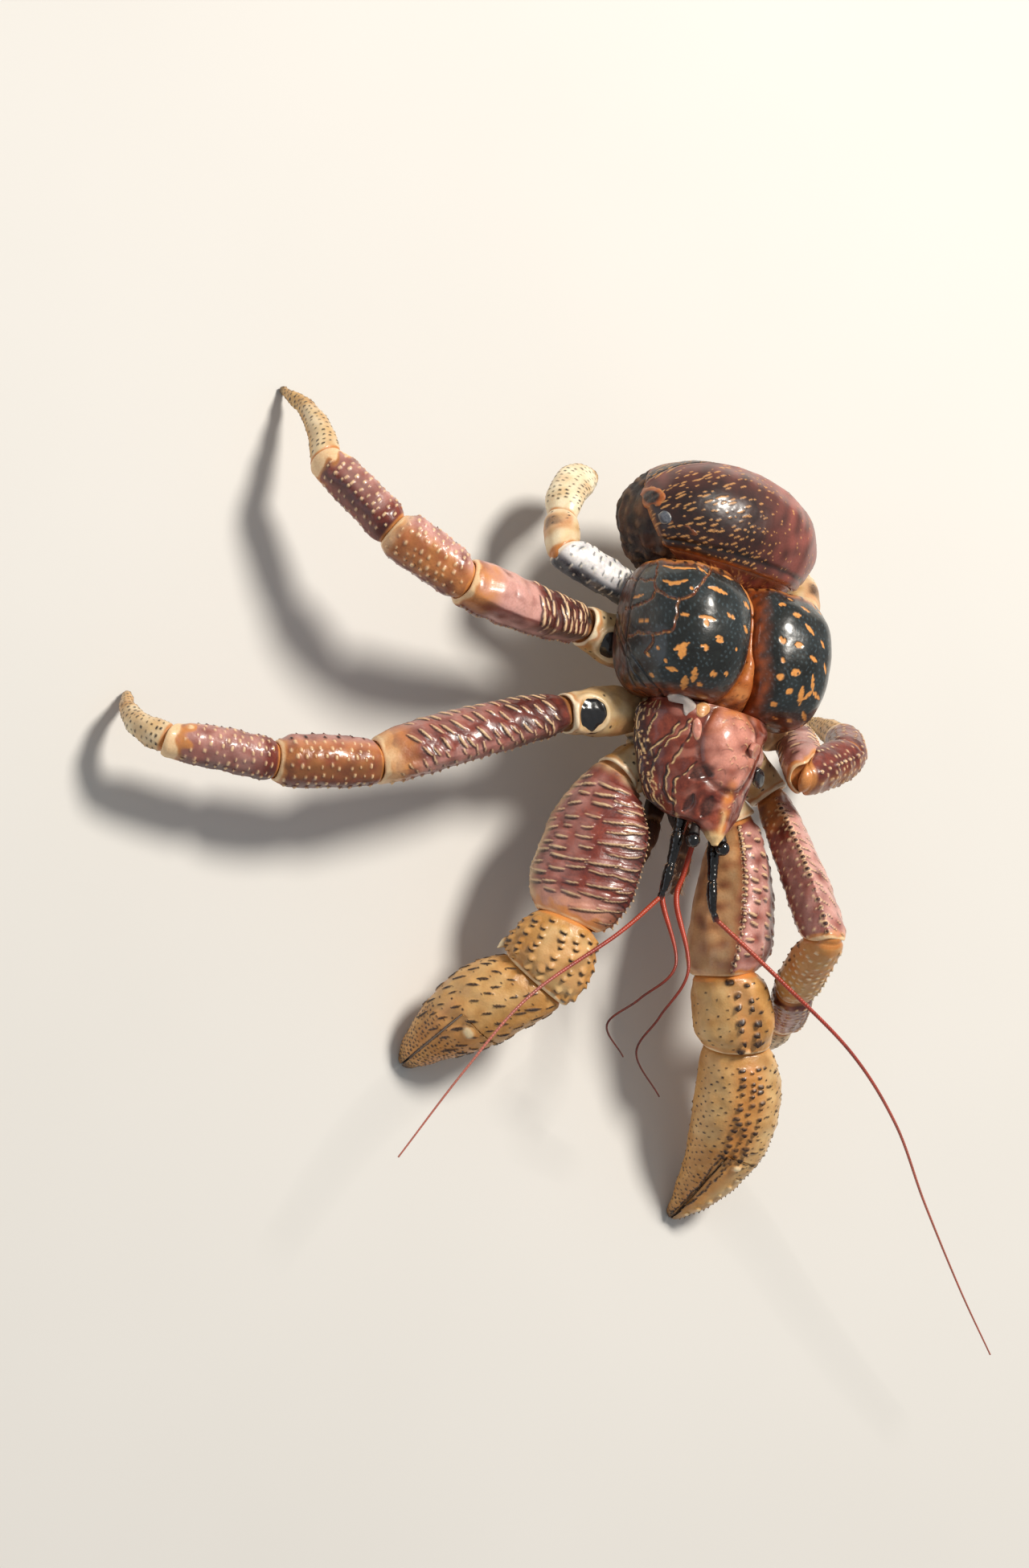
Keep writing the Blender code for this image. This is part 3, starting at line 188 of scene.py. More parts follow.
# Strokes laid on a limb's skin, as kind, (first turn, last turn, columns), (first place, last place, rows),
# half length, radius and height in mm, and tilt from across the limb to along it. Turns are degrees round the
# section from its side, with the crest at 90.
PLUM_MERUS = (("bar", (-15.0, 62.0, 3), (0.12, 0.82, 13), 3.4, 0.75, 0.75, -28.0),
              ("bar", (84.0, 112.0, 2), (0.14, 0.90, 13), 2.0, 0.65, 0.5, -20.0),
              ("bar", (-70.0, -45.0, 1), (0.12, 0.9, 12), 3.4, 0.9, 0.7, -20.0),
              ("tooth", (136.0, 136.0, 1), (0.05, 0.95, 22), 0.1, 1.25, 1.4, 0.0),
              ("bar", (160.0, 250.0, 3), (0.14, 0.88, 11), 3.0, 0.9, 0.5, 12.0))
PLUM_CARPUS = (("pearl", (20.0, 120.0, 6), (0.14, 0.88, 9), 0.4, 0.85, 0.6, 0.0),
               ("tooth", (138.0, 138.0, 1), (0.12, 0.92, 9), 0.1, 1.4, 1.4, 0.0),
               ("tubercle", (-60.0, 0.0, 3), (0.18, 0.88, 6), 0.4, 1.0, 0.9, 0.0),
               ("pearl", (160.0, 290.0, 5), (0.16, 0.90, 8), 0.2, 0.8, 0.4, 0.0))
PLUM_PROPODUS = (("pearl", (10.0, 120.0, 6), (0.10, 0.80, 9), 0.5, 0.8, 0.55, 0.0),
                 ("tooth", (136.0, 136.0, 1), (0.08, 0.84, 10), 0.1, 1.2, 1.1, 0.0),
                 ("tubercle", (-70.0, -10.0, 3), (0.12, 0.80, 9), 0.5, 0.9, 0.7, 0.0),
                 ("pearl", (165.0, 280.0, 5), (0.12, 0.82, 9), 0.3, 0.8, 0.4, 0.0))
STRAW_DACTYL = (("dot", (0.0, 330.0, 12), (0.08, 0.96, 17), 0.3, 0.62, 0.35, 0.0),)
STRAW_BASE = (("dot", (0.0, 300.0, 6), (0.55, 0.95, 4), 0.2, 0.7, 0.2, 0.0),)
PALE_HAND = (("dot", (20.0, 160.0, 7), (0.14, 0.95, 14), 0.3, 0.6, 0.3, 0.0),
             ("dot", (200.0, 340.0, 5), (0.14, 0.95, 10), 0.3, 0.6, 0.3, 0.0))
PALE_MERUS = (("bar", (40.0, 150.0, 4), (0.18, 0.90, 9), 1.8, 0.7, 0.5, 0.0),
              ("pearl", (170.0, 330.0, 6), (0.15, 0.90, 9), 0.3, 0.8, 0.4, 0.0))

# The finish of each length: material, strokes, warm band at start and end in mm, pale band at the end in mm,
# then washes of a field over part of the skin as (field, turn, half width in degrees, first place, last
# place, amount)
LEG_LOOKS = {
    "base": ("straw", STRAW_BASE, 0.0, 4.0, 2.0,
             (("bloom", 90.0, 90.0, 0.0, 1.0, 0.3), ("warm", 180.0, 70.0, 0.0, 0.5, 0.5),
              ("dark", 220.0, 60.0, 0.2, 0.8, 0.3))),
    "merus": ("plum", PLUM_MERUS, 4.0, 7.0, 2.2,
              (("bloom", 60.0, 60.0, 0.45, 0.95, 0.5), ("dark", 0.0, 180.0, -0.2, 0.30, 0.5))),
    "carpus": ("plum", PLUM_CARPUS, 3.0, 3.5, 1.5,
               (("warm", 60.0, 50.0, 0.0, 1.0, 0.5), ("bloom", -10.0, 40.0, 0.0, 1.0, 0.5),
                ("dark", 110.0, 40.0, 0.0, 1.0, 0.35))),
    "propodus": ("plum", PLUM_PROPODUS, 2.5, 9.0, 6.0,
                 (("bloom", 60.0, 70.0, 0.2, 0.9, 0.55), ("dark", 130.0, 40.0, 0.0, 0.9, 0.35))),
    "dactyl": ("straw", STRAW_DACTYL, 3.0, 0.0, 0.0,
               (("bloom", 90.0, 90.0, 0.0, 0.6, 0.5), ("dark", 0.0, 180.0, 0.95, 1.5, 0.9))),
    "hand": ("straw", PALE_HAND, 2.0, 0.0, 0.0,
             (("bloom", 90.0, 120.0, 0.0, 0.9, 0.9), ("dark", 0.0, 180.0, 0.96, 1.5, 0.6))),
}
SMALL_CARPUS_LOOK = ("straw", STRAW_BASE, 2.0, 2.0, 1.2,
                     (("bloom", 90.0, 90.0, 0.0, 1.0, 0.6), ("warm", 110.0, 60.0, 0.3, 0.8, 0.7),
                      ("dark", 120.0, 30.0, 0.45, 0.75, 0.7)))
CLAW_BASE_LOOK = ("straw", STRAW_BASE, 0.0, 3.0, 1.5,
                  (("bloom", 90.0, 60.0, 0.3, 1.0, 0.6), ("dark", 200.0, 80.0, 0.0, 0.6, 0.4)))
PALE_MERUS_LOOK = ("pale", PALE_MERUS, 2.0, 2.0, 1.2,
                   (("bloom", 60.0, 70.0, -0.3, 1.3, 1.1), ("dark", 175.0, 45.0, 0.0, 1.0, 0.7)))
LOOKS = {
    "claw_right_base": CLAW_BASE_LOOK,
    "claw_right_merus": ("plum", (
        ("bar", (36.0, 66.0, 2), (0.13, 0.90, 12), 7.5, 0.62, 0.9, -14.0),
        ("bar", (-50.0, 4.0, 3), (0.14, 0.84, 11), 3.6, 0.80, 0.8, -7.0),
        ("tooth", (97.0, 97.0, 1), (0.05, 0.97, 26), 0.1, 1.35, 1.8, 0.0),
        ("stripe", (84.0, 84.0, 1), (0.05, 0.95, 28), 3.2, 0.55, -0.2, 12.0),
        ("dot", (-92.0, -64.0, 3), (0.14, 0.92, 12), 0.3, 0.75, 0.5, 0.0),
        ("bar", (120.0, 240.0, 4), (0.14, 0.90, 11), 3.4, 0.95, 0.7, 0.0)),
        3.0, 5.5, 1.6,
        (("pale", -78.0, 24.0, 0.10, 0.95, 0.75), ("bloom", 10.0, 60.0, 0.84, 1.2, 0.9),
         ("warm", 20.0, 90.0, 0.86, 1.2, 0.4), ("bloom", -30.0, 35.0, 0.1, 0.8, 0.35),
         ("dark", 78.0, 20.0, 0.0, 0.95, 0.45), ("pale", 30.0, 110.0, -0.3, 0.05, 0.6))),
    "claw_right_carpus": ("tan", (
        ("cone", (18.0, 165.0, 7), (0.14, 0.86, 7), 0.6, 2.2, 1.6, 0.0),
        ("cone", (190.0, 345.0, 6), (0.2, 0.85, 4), 0.5, 2.3, 1.6, 0.0),
        ("tooth", (6.0, 6.0, 1), (0.80, 0.80, 1), 2.0, 4.2, 3.6, 0.0)),
        3.0, 3.0, 1.5, (("bloom", 110.0, 40.0, 0.2, 0.9, 0.5), ("warm", 120.0, 40.0, 0.3, 0.8, 0.35))),
    "claw_right_chela": ("tan", (
        ("dash", (8.0, 172.0, 8), (0.07, 0.62, 7), 2.6, 0.95, 0.8, -60.0),
        ("dot", (0.0, 180.0, 17), (0.60, 0.95, 15), 0.3, 0.55, 0.4, 0.0),
        ("dot", (16.0, 164.0, 8), (0.08, 0.56, 8), 0.2, 0.5, 0.3, 0.0),
        ("dash", (200.0, 340.0, 6), (0.10, 0.80, 8), 2.0, 0.95, 0.6, -50.0),
        ("pearl", (112.0, 112.0, 1), (0.50, 0.50, 1), 0.6, 2.6, 0.9, 0.0)),
        2.0, 0.0, 0.0, (("dark", 90.0, 180.0, 0.96, 1.6, 1.0), ("bloom", 60.0, 50.0, 0.1, 0.6, 0.3),
                        ("warm", 120.0, 60.0, 0.45, 0.9, 0.5))),
    "claw_left_base": CLAW_BASE_LOOK,
    "claw_left_merus": ("plum", (
        ("bar", (112.0, 168.0, 3), (0.12, 0.86, 11), 2.4, 0.85, 0.8, 8.0),
        ("tooth", (95.0, 95.0, 1), (0.05, 0.97, 24), 0.1, 1.4, 1.8, 0.0),
        ("spine", (88.0, 88.0, 1), (0.06, 0.96, 22), 0.1, 0.9, 0.8, 0.0),
        ("pearl", (185.0, 250.0, 4), (0.12, 0.9, 11), 0.3, 1.0, 0.6, 0.0)),
        3.0, 4.0, 1.2,
        (("warm", 15.0, 68.0, -0.5, 1.5, 0.95), ("pale", 15.0, 62.0, -0.5, 1.5, 0.35),
         ("dark", 72.0, 12.0, 0.3, 1.0, 0.45), ("bloom", 140.0, 45.0, 0.05, 0.98, 0.75),
         ("dark", 45.0, 30.0, 0.80, 0.97, 0.4))),
    "claw_left_carpus": ("tan", (
        ("tubercle", (86.0, 106.0, 2), (0.10, 0.92, 7), 0.8, 1.8, 2.2, 0.0),
        ("dot", (0.0, 74.0, 5), (0.20, 0.90, 6), 0.3, 0.6, 0.4, 0.0),
        ("dash", (120.0, 175.0, 3), (0.16, 0.86, 5), 1.4, 0.85, 0.7, 0.0),
        ("dash", (195.0, 330.0, 5), (0.2, 0.85, 4), 1.4, 0.9, 0.6, 0.0),
        ("swell", (22.0, 22.0, 1), (0.60, 0.60, 1), 1.0, 9.0, 2.0, 0.0),
        ("pearl", (92.0, 92.0, 1), (0.97, 0.97, 1), 0.6, 3.4, 2.0, 0.0)),
        3.0, 3.0, 1.5, (("bloom", 60.0, 40.0, 0.1, 0.9, 0.4), ("warm", 96.0, 16.0, 0.0, 1.0, 0.6),
                        ("bloom", 96.0, 14.0, 0.1, 0.5, 0.5))),
    "claw_left_chela": ("tan", (
        ("tubercle", (80.0, 104.0, 3), (0.08, 0.54, 13), 0.8, 1.15, 1.4, 0.0),
        ("dot", (6.0, 74.0, 7), (0.06, 0.72, 14), 0.3, 0.6, 0.4, 0.0),
        ("dash", (116.0, 172.0, 4), (0.07, 0.58, 7), 1.6, 0.85, 0.7, 0.0),
        ("dot", (114.0, 174.0, 7), (0.08, 0.60, 12), 0.2, 0.48, 0.3, 0.0),
        ("dot", (78.0, 92.0, 2), (0.54, 0.97, 26), 0.4, 0.75, 0.9, 90.0),
        ("dot", (20.0, 72.0, 5), (0.72, 0.96, 9), 0.3, 0.5, 0.3, 0.0),
        ("pearl", (108.0, 108.0, 1), (0.58, 0.58, 1), 0.5, 2.8, 1.7, 0.0),
        ("pearl", (130.0, 130.0, 1), (0.64, 0.92, 6), 0.3, 1.5, 1.0, 0.0),
        ("tubercle", (172.0, 172.0, 1), (0.44, 0.97, 26), 0.2, 0.85, 1.1, 0.0),
        ("dash", (200.0, 345.0, 6), (0.08, 0.80, 9), 1.6, 0.9, 0.6, 0.0)),
        2.0, 0.0, 0.0, (("dark", 90.0, 180.0, 0.97, 1.6, 1.0), ("warm", 90.0, 22.0, 0.05, 0.9, 0.5),
                        ("bloom", 140.0, 35.0, 0.05, 0.8, 0.5), ("bloom", 40.0, 30.0, 0.05, 0.5, 0.4))),
    "leg2_right_merus": ("plum", PLUM_MERUS, 4.0, 8.0, 2.2,
                         (("dark", 60.0, 180.0, -0.2, 0.36, 0.6), ("bloom", 110.0, 35.0, 0.2, 0.9, 0.5),
                          ("pale", 60.0, 180.0, 0.94, 1.5, 0.6), ("warm", 60.0, 180.0, 0.86, 1.5, 0.7),
                          ("bloom", -10.0, 40.0, 0.4, 0.9, 0.35))),
    "leg3_right_merus": ("plum", (
        ("bar", (0.0, 84.0, 3), (0.08, 0.50, 8), 3.6, 0.9, 0.8, -6.0),
        ("tooth", (150.0, 150.0, 1), (0.05, 0.95, 26), 0.1, 1.1, 1.3, 0.0),
        ("bar", (170.0, 300.0, 4), (0.14, 0.88, 10), 3.0, 0.9, 0.5, 12.0),
        ("swell", (50.0, 50.0, 1), (0.68, 0.80, 2), 2.0, 11.0, 1.8, 0.0)),
        4.0, 4.0, 2.0,
        (("dark", 40.0, 85.0, -0.2, 0.50, 0.75), ("bloom", 30.0, 60.0, 0.52, 0.95, 1.3),
         ("bloom", 126.0, 22.0, 0.05, 0.8, 1.0), ("warm", 70.0, 70.0, 0.84, 1.5, 0.8))),
    "leg3_right_carpus": ("plum", PLUM_CARPUS, 3.0, 3.5, 1.5,
                          (("bloom", 30.0, 45.0, 0.0, 1.0, 0.9), ("warm", 110.0, 45.0, 0.0, 1.0, 0.7),
                           ("pale", 90.0, 120.0, 0.90, 1.5, 0.5))),
    "leg4_right_merus": PALE_MERUS_LOOK,
    "leg4_right_carpus": SMALL_CARPUS_LOOK,
    "leg4_left_merus": PALE_MERUS_LOOK,
    "leg4_left_carpus": SMALL_CARPUS_LOOK,
    "leg2_left_merus": ("plum", (
        ("spine", (86.0, 86.0, 1), (0.06, 0.96, 22), 0.1, 1.6, 1.7, 0.0),
        ("pearl", (8.0, 70.0, 4), (0.10, 0.94, 14), 0.3, 1.0, 0.5, 0.0),
        ("bar", (112.0, 172.0, 3), (0.10, 0.94, 15), 2.2, 0.5, 0.3, 30.0),
        ("pearl", (190.0, 340.0, 6), (0.12, 0.90, 12), 0.3, 0.9, 0.4, 0.0)),
        5.0, 5.0, 2.0,
        (("bloom", 140.0, 50.0, 0.05, 1.1, 1.0), ("warm", 40.0, 60.0, -0.2, 0.25, 0.8),
         ("bloom", 60.0, 30.0, 0.4, 1.1, 0.5))),
    "leg2_left_carpus": ("straw", PLUM_CARPUS, 3.0, 3.5, 1.5,
                         (("warm", 60.0, 180.0, -0.2, 0.5, 0.6), ("warm", 60.0, 60.0, 0.0, 1.2, 0.4))),
    "leg3_left_merus": ("plum", (
        ("tooth", (-42.0, -42.0, 1), (0.05, 0.97, 18), 0.1, 1.4, 1.4, 0.0),
        ("bar", (-170.0, -60.0, 3), (0.10, 0.80, 9), 3.0, 0.9, 0.6, 0.0),
        ("bar", (0.0, 150.0, 4), (0.10, 0.86, 9), 3.0, 0.9, 0.6, 0.0)),
        4.0, 5.0, 1.2, (("bloom", -110.0, 70.0, 0.5, 1.2, 0.8), ("warm", 0.0, 60.0, 0.8, 1.2, 0.7))),
}
SLOTS = {"base": "limb_straw", "dactyl": "limb_straw", "hand": "limb_straw", "palm": "shell_tan",
         "finger": "shell_tan"}

# Feelers as routes through the frame, from root to tip
ANTENNA_BASE = {
    "right": ((-9.0, -46.0, 80.0), (-10.5, -64.0, 80.5), (-12.0, -84.0, 78.5), (-12.5, -92.0, 76.0)),
    "left": ((10.5, -46.0, 77.0), (12.0, -64.0, 79.0), (14.0, -88.0, 80.5), (18.0, -97.0, 80.5)),
}
ANTENNA = {
    "right": ((-12.4, -91.0, 76.2), (-38.0, -114.0, 83.0), (-82.0, -151.0, 85.0), (-108.0, -190.0, 80.0),
              (-130.0, -233.0, 70.0)),
    "left": ((17.6, -96.0, 80.4), (52.0, -120.0, 92.0), (95.0, -146.0, 95.0), (131.0, -174.0, 89.0),
             (161.0, -207.0, 80.0), (198.0, -244.0, 69.0), (229.0, -272.0, 60.0)),
}
ANTENNULE = {
    "right": ((-3.4, -46.0, 79.0), (-5.5, -74.0, 70.0), (-5.0, -90.0, 67.0), (0.0, -121.0, 78.0),
              (-12.0, -139.0, 70.0), (-23.0, -153.0, 62.0), (-3.6, -164.6, 50.0)),
    "left": ((3.4, -46.0, 79.0), (1.0, -76.0, 73.5), (-0.5, -91.0, 72.5), (4.0, -123.0, 83.0),
             (-3.0, -146.0, 75.0), (-8.0, -164.0, 67.0), (17.0, -180.0, 54.0)),
}
MAXILLIPED = {
    "right": ((-6.5, -40.0, 53.0), (-11.5, -63.0, 58.0), (-16.0, -86.0, 48.0)),
    "left": ((5.5, -40.5, 51.0), (11.5, -62.0, 56.0), (17.0, -82.0, 45.0)),
}
STALK = ((5.5, -46.0, 8.0), (9.0, -61.0, 10.5))
EYE_RADIUS = 3.4

# Rings and turns of each grid, and the radii along each feeler, stem, mouth limb and stalk
LOBE_GRIDS = {"right": (172, 384), "left": (152, 340)}
WEDGE_GRID = (150, 72)
SHIELD_GRID = (176, 372)
STERNUM_GRID = (140, 124)
BELLY_GRID = (112, 210)
TAIL_GRID = (90, 96)
ANTENNA_RADII = (1.15, 0.95, 0.75, 0.55, 0.40)
ANTENNULE_RADII = (1.5, 1.25, 1.35, 0.75, 0.60, 0.50, 0.42)
STEM_RADII = (3.3, 3.5, 2.6, 3.1, 2.5, 2.3, 2.6, 1.9, 1.5)
MOUTH_LIMB_RADII = (4.6, 5.0, 4.1, 4.4, 3.6, 3.7, 2.9, 2.2)
STALK_RADII = (2.6, 2.5, 2.1, 2.2, 2.7)
ANTENNA_GRID = (1500, 10)
ANTENNULE_GRID = (700, 10)
STEM_GRID = (260, 28)
MOUTH_LIMB_GRID = (200, 32)
STALK_GRID = (60, 24)
GLOBE_GRID = (40, 48)
CUSHION_GRID = (22, 64)
CUSHION_THICK = 2.4

# Skin that turns from the camera more than this isn't met by its rays, nor is a plane this far off in mm
FACING_LEAST = 0.15
OFF_MOST = 1.5

# The studio: half the floor's side and its level in m, the sky's strength, and the lamps as ways along the
# picture's right, its up and back, then distance in mm, size in m, power in watts and colour
FLOOR_HALF = 4.0
FLOOR_LEVEL = -0.0004
SKY_STRENGTH = 0.36
LAMPS = {"key": ((0.80, 0.60, 0.70), 2600.0, 0.70, 82.0, "#fff8ee"),
         "fill": ((-0.9, 0.0, 0.6), 1600.0, 1.2, 3.0, "#e8f0ff")}

# Lines and flecks of the carapace, where the picture shows them, in its pixels
RIGHT_SUTURES = (
    ((822, 681), (815, 720), (816, 732), (844, 746), (864, 737), (880, 715), (899, 690)),
    ((844, 746), (842, 760), (841, 775), (832, 785), (811, 789)),
    ((815, 722), (790, 720), (780, 721)),
    ((816, 735), (810, 745), (790, 755), (777, 758)),
    ((811, 789), (811, 800), (802, 812)),
    ((811, 789), (796, 787), (782, 792)),
)
RIGHT_RIMS = (
    ((769, 728), (766, 750), (775, 792), (790, 820), (820, 860), (830, 872)),
    ((764, 740), (762, 765), (772, 800), (787, 832), (803, 855)),
)
RIGHT_FLECKS = (
    ((825, 704), (845, 707), (865, 707), 3.0), ((825, 722), (838, 726), (855, 722), 3.4),
    ((859, 731), (862, 733), 2.2), ((869, 705), (880, 713), 3.0), ((882, 731), (893, 734), (905, 739), 4.0),
    ((900, 716), (912, 721), 3.4), ((926, 749), (931, 757), 4.6), ((905, 763), (913, 770), 3.6),
    ((870, 767), (890, 771), 3.4), ((879, 772), (879, 778), 3.8), ((790, 771), (806, 772), 2.8),
    ((847, 764), (857, 765), 2.4), ((926, 779), (930, 787), 4.4), ((891, 793), (899, 798), 4.8),
    ((873, 803), (881, 808), 4.6), ((915, 806), (916, 809), 2.6), ((839, 808), (857, 800), 4.2),
    ((850, 803), (848, 819), 5.6), ((829, 830), (842, 835), 3.8), ((865, 831), (862, 848), 5.2),
    ((853, 842), (850, 858), 5.6), ((886, 836), (889, 841), 5.0), ((903, 836), (903, 841), 3.6),
    ((808, 838), (813, 842), 3.2), ((817, 804), (820, 808), 2.4), ((827, 820), (830, 824), 2.4),
    ((804, 812), (808, 817), 2.6), ((868, 850), (873, 854), 3.6), ((786, 744), (800, 740), 2.2),
)
LEFT_FLECKS = (
    ((970, 752), (977, 752), 3.6), ((997, 755), (1007, 761), 3.8), ((987, 765), (996, 766), 4.0),
    ((1003, 777), (1012, 790), 3.8), ((972, 793), (976, 800), 4.6), ((990, 802), (999, 803), 4.2),
    ((1008, 817), (1016, 823), 3.8), ((973, 820), (975, 823), 3.4), ((985, 837), (995, 837), 5.4),
    ((969, 843), (973, 841), 5.0), ((980, 861), (985, 859), 4.8), ((960, 875), (965, 878), 4.6),
    ((1011, 840), (1011, 860), 3.6), ((1011, 860), (1019, 870), 3.4), ((998, 855), (994, 877), 4.6),
    ((1011, 860), (998, 870), 4.0), ((999, 886), (1002, 897), 3.6), ((1001, 911), (1005, 914), 3.2),
    ((981, 744), (986, 747), 3.2), ((1004, 732), (1008, 736), 3.0), ((980, 895), (984, 899), 3.6),
    ((962, 893), (966, 896), 3.2), ((1022, 797), (1026, 806), 3.0), ((1026, 826), (1027, 838), 3.0),
)
LEFT_SUTURES = (((1021, 885), (1006, 899), (987, 915)),)
SHIELD_LINES = (
    ((860, 895), (854, 905), (837, 919), (824, 930), (817, 942), (812, 957), (811, 980), (816, 995),
     (830, 1010), (845, 1022), (865, 1025)),
    ((864, 900), (859, 917), (845, 937), (834, 952), (829, 970), (830, 985), (835, 995), (841, 1000)),
    ((870, 947), (855, 960), (842, 970), (840, 982), (840, 1000), (842, 1015), (845, 1024)),
    ((819, 887), (807, 910), (805, 932)),
    ((797, 882), (792, 895), (794, 912), (802, 937)),
    ((847, 897), (839, 907), (830, 915), (818, 926), (807, 936)),
)
SHIELD_HOLLOWS = (((860, 966), (873, 960), (884, 964), 11.0), ((874, 1014), (880, 1004), (885, 994), 11.0),
                  ((850, 1008), (856, 1000), (862, 990), 7.0), ((930, 985), (926, 1000), (920, 1015), 9.0))

# Cushions of skin and horn laid on the shells: picture outline, the skins below, height in mm, slot,
# finish and fields, where heart says how dark the middle is
PADS = {
    "hinge_lip_right": (((830, 866), (838, 861), (850, 864), (861, 871), (867, 880), (863, 889), (854, 893),
                         (850, 886), (853, 880), (847, 874), (839, 873), (832, 872)),
                        ("branchial_lobe_right", "cephalic_shield"), 2.6, "limb_straw", "pale",
                        {"bloom": 0.35, "warm": 0.25}),
    "hinge_tongue_right": (((866, 877), (874, 873), (883, 878), (882, 887), (873, 893), (866, 888)),
                           ("branchial_lobe_right", "cephalic_shield"), 1.0, "limb_straw", "limb_straw",
                           {"warm": 0.6, "bloom": 0.1}),
    "hinge_knob_right": (((862, 896), (867, 892), (872, 897), (873, 908), (870, 919), (865, 921), (861, 911)),
                         ("branchial_lobe_right", "cephalic_shield"), 1.5, "shell_wine", "shell_wine",
                         {"bloom": 0.9}),
    "hinge_lip_left": (((946, 904), (955, 902), (972, 910), (985, 917), (987, 926), (980, 932), (965, 934),
                        (949, 934), (946, 922)), ("branchial_lobe_left", "cephalic_shield"), 1.5,
                       "limb_straw", "limb_straw", {"bloom": 0.4, "warm": 0.4}),
    "shoulder_knob_left": (((936, 934), (941, 926), (948, 930), (949, 944), (945, 955), (938, 954),
                            (935, 944)), ("cephalic_shield",), 1.5,
                           "shell_wine", "shell_wine", {"bloom": 0.9}),
    "shoulder_spot_left": (((941, 960), (947, 957), (951, 965), (949, 978), (943, 981), (939, 972)),
                           ("cephalic_shield",), 0.9, "hide_dark", "black_horn", {"bloom": 0.8}),
    "leg2_soft_window": (((737, 863), (747, 867), (755, 879), (756, 892), (750, 905), (740, 913), (729, 912),
                          (721, 905), (719, 890), (721, 872), (727, 865)), ("leg2_right_base",), 0.8,
                         "hide_dark", "black_horn", {"bloom": 0.4}),
    "leg3_soft_window": (((750, 785), (762, 781), (772, 795), (776, 815), (770, 824), (757, 825), (746, 817),
                          (743, 800)), ("leg3_right_base",), 0.8, "hide_dark", "black_horn", {"bloom": 0.4}),
    "side_flap": (((800, 607), (812, 605), (825, 610), (829, 619), (822, 629), (807, 633), (797, 627),
                   (794, 617)), ("abdomen", "tergite_2", "tergite_3"), 1.1, "shell_wine", "belly_plate",
                  {"warm": 0.75, "heart": 1.0}),
    "side_nub": (((818, 640), (825, 635), (833, 638), (836, 645), (832, 652), (822, 651)),
                 ("abdomen", "tergite_2"), 1.6, "limb_plum", "pale", {"dark": 0.65}),
    "side_strip": (((832, 646), (845, 650), (859, 655), (869, 665), (865, 669), (850, 661), (834, 656)),
                   ("abdomen", "tergite_2"), 0.6, "shell_wine", "belly_plate", {"warm": 0.3, "heart": 0.9}),
}


def hex_colour(text):
    """An sRGB hex colour as linear RGBA: (c / 12.92) when dark, ((c + 0.055) / 1.055) ^ 2.4 otherwise."""
    parts = [int(text[index:index + 2], 16) / 255.0 for index in (1, 3, 5)]
    return (*[part / 12.92 if part <= 0.04045 else ((part + 0.055) / 1.055) ** 2.4 for part in parts], 1.0)


def add(tree, kind, settings, inputs):
    """One shader node with its settings; each input takes a value or another node's output."""
    node = tree.nodes.new(kind)
    for key, value in settings.items():
        setattr(node, key, value)
    for key, value in inputs.items():
        if isinstance(value, bpy.types.NodeSocket):
            tree.links.new(value, node.inputs[key])
        else:
            node.inputs[key].default_value = value
    return node


def unit(vectors):
    """Vectors divided by their length."""
    return vectors / np.maximum(np.linalg.norm(vectors, axis=-1, keepdims=True), 1e-9)


def smooth(values):
    """The ease 3t^2 - 2t^3 of values held between 0 and 1."""
    held = np.clip(values, 0.0, 1.0)
    return held * held * (3.0 - 2.0 * held)


def eased(x, xs, ys):
    """A cubic through the knots whose slope at each is the harmonic mean of the slopes beside it."""
    xs, ys = np.asarray(xs, float), np.asarray(ys, float)
    step = np.diff(xs)
    slope = np.diff(ys) / step
    lean = np.zeros_like(ys)
    level = slope[:-1] * slope[1:] > 0.0
    lean[1:-1][level] = 2.0 * slope[:-1][level] * slope[1:][level] / (slope[:-1][level] + slope[1:][level])
    lean[0], lean[-1] = slope[0], slope[-1]
    x = np.clip(x, xs[0], xs[-1])
    knot = np.clip(np.searchsorted(xs, x, side="right") - 1, 0, len(xs) - 2)
    width = step[knot]
    share = (x - xs[knot]) / width
    rest = 1.0 - share
    return (ys[knot] * (1.0 + 2.0 * share) * rest ** 2 + lean[knot] * width * share * rest ** 2
            + ys[knot + 1] * share ** 2 * (3.0 - 2.0 * share) - lean[knot + 1] * width * share ** 2 * rest)


def ripple(points, length, seed):
    """A smooth lumpy field of about -1 to 1: the mean of sines along random directions of one wave length."""
    draw = np.random.default_rng(seed)
    ways = unit(draw.normal(size=(10, 3))) * (2.0 * math.pi / length)
    phases = draw.uniform(0.0, 2.0 * math.pi, 10)
    return np.sin(points @ ways.T + phases).sum(axis=-1) / 4.0


def round_turn(turn, powers):
    """Points of a unit superellipse at the given angles, with one power for its upper half and one below."""
    cosine, sine = np.cos(turn), np.sin(turn)
    share = 2.0 / np.where(sine >= 0.0, powers[0], powers[1])
    return np.sign(cosine) * np.abs(cosine) ** share, np.sign(sine) * np.abs(sine) ** share


def turns_of(count):
    """Even turns round a ring in radians, as a row."""
    return np.radians(np.linspace(0.0, 360.0, count, endpoint=False))[None, :]


def places_of(x, y, z):
    """Places from three fields stretched to one shape."""
    return np.stack(np.broadcast_arrays(x, y, z), axis=-1)


def mirror_of(side):
    """Factors that carry a place on the left side to the named side."""
    return np.array((1.0 if side == "left" else -1.0, 1.0, 1.0))


def body(points):
    """Places of the body's own frame in the crab's frame: turned by the roll about Y, then raised."""
    x, y, z = points[..., 0], points[..., 1], points[..., 2]
    cosine, sine = math.cos(BODY_ROLL), math.sin(BODY_ROLL)
    return np.stack((x * cosine + z * sine, y, BODY_HEIGHT - x * sine + z * cosine), axis=-1)


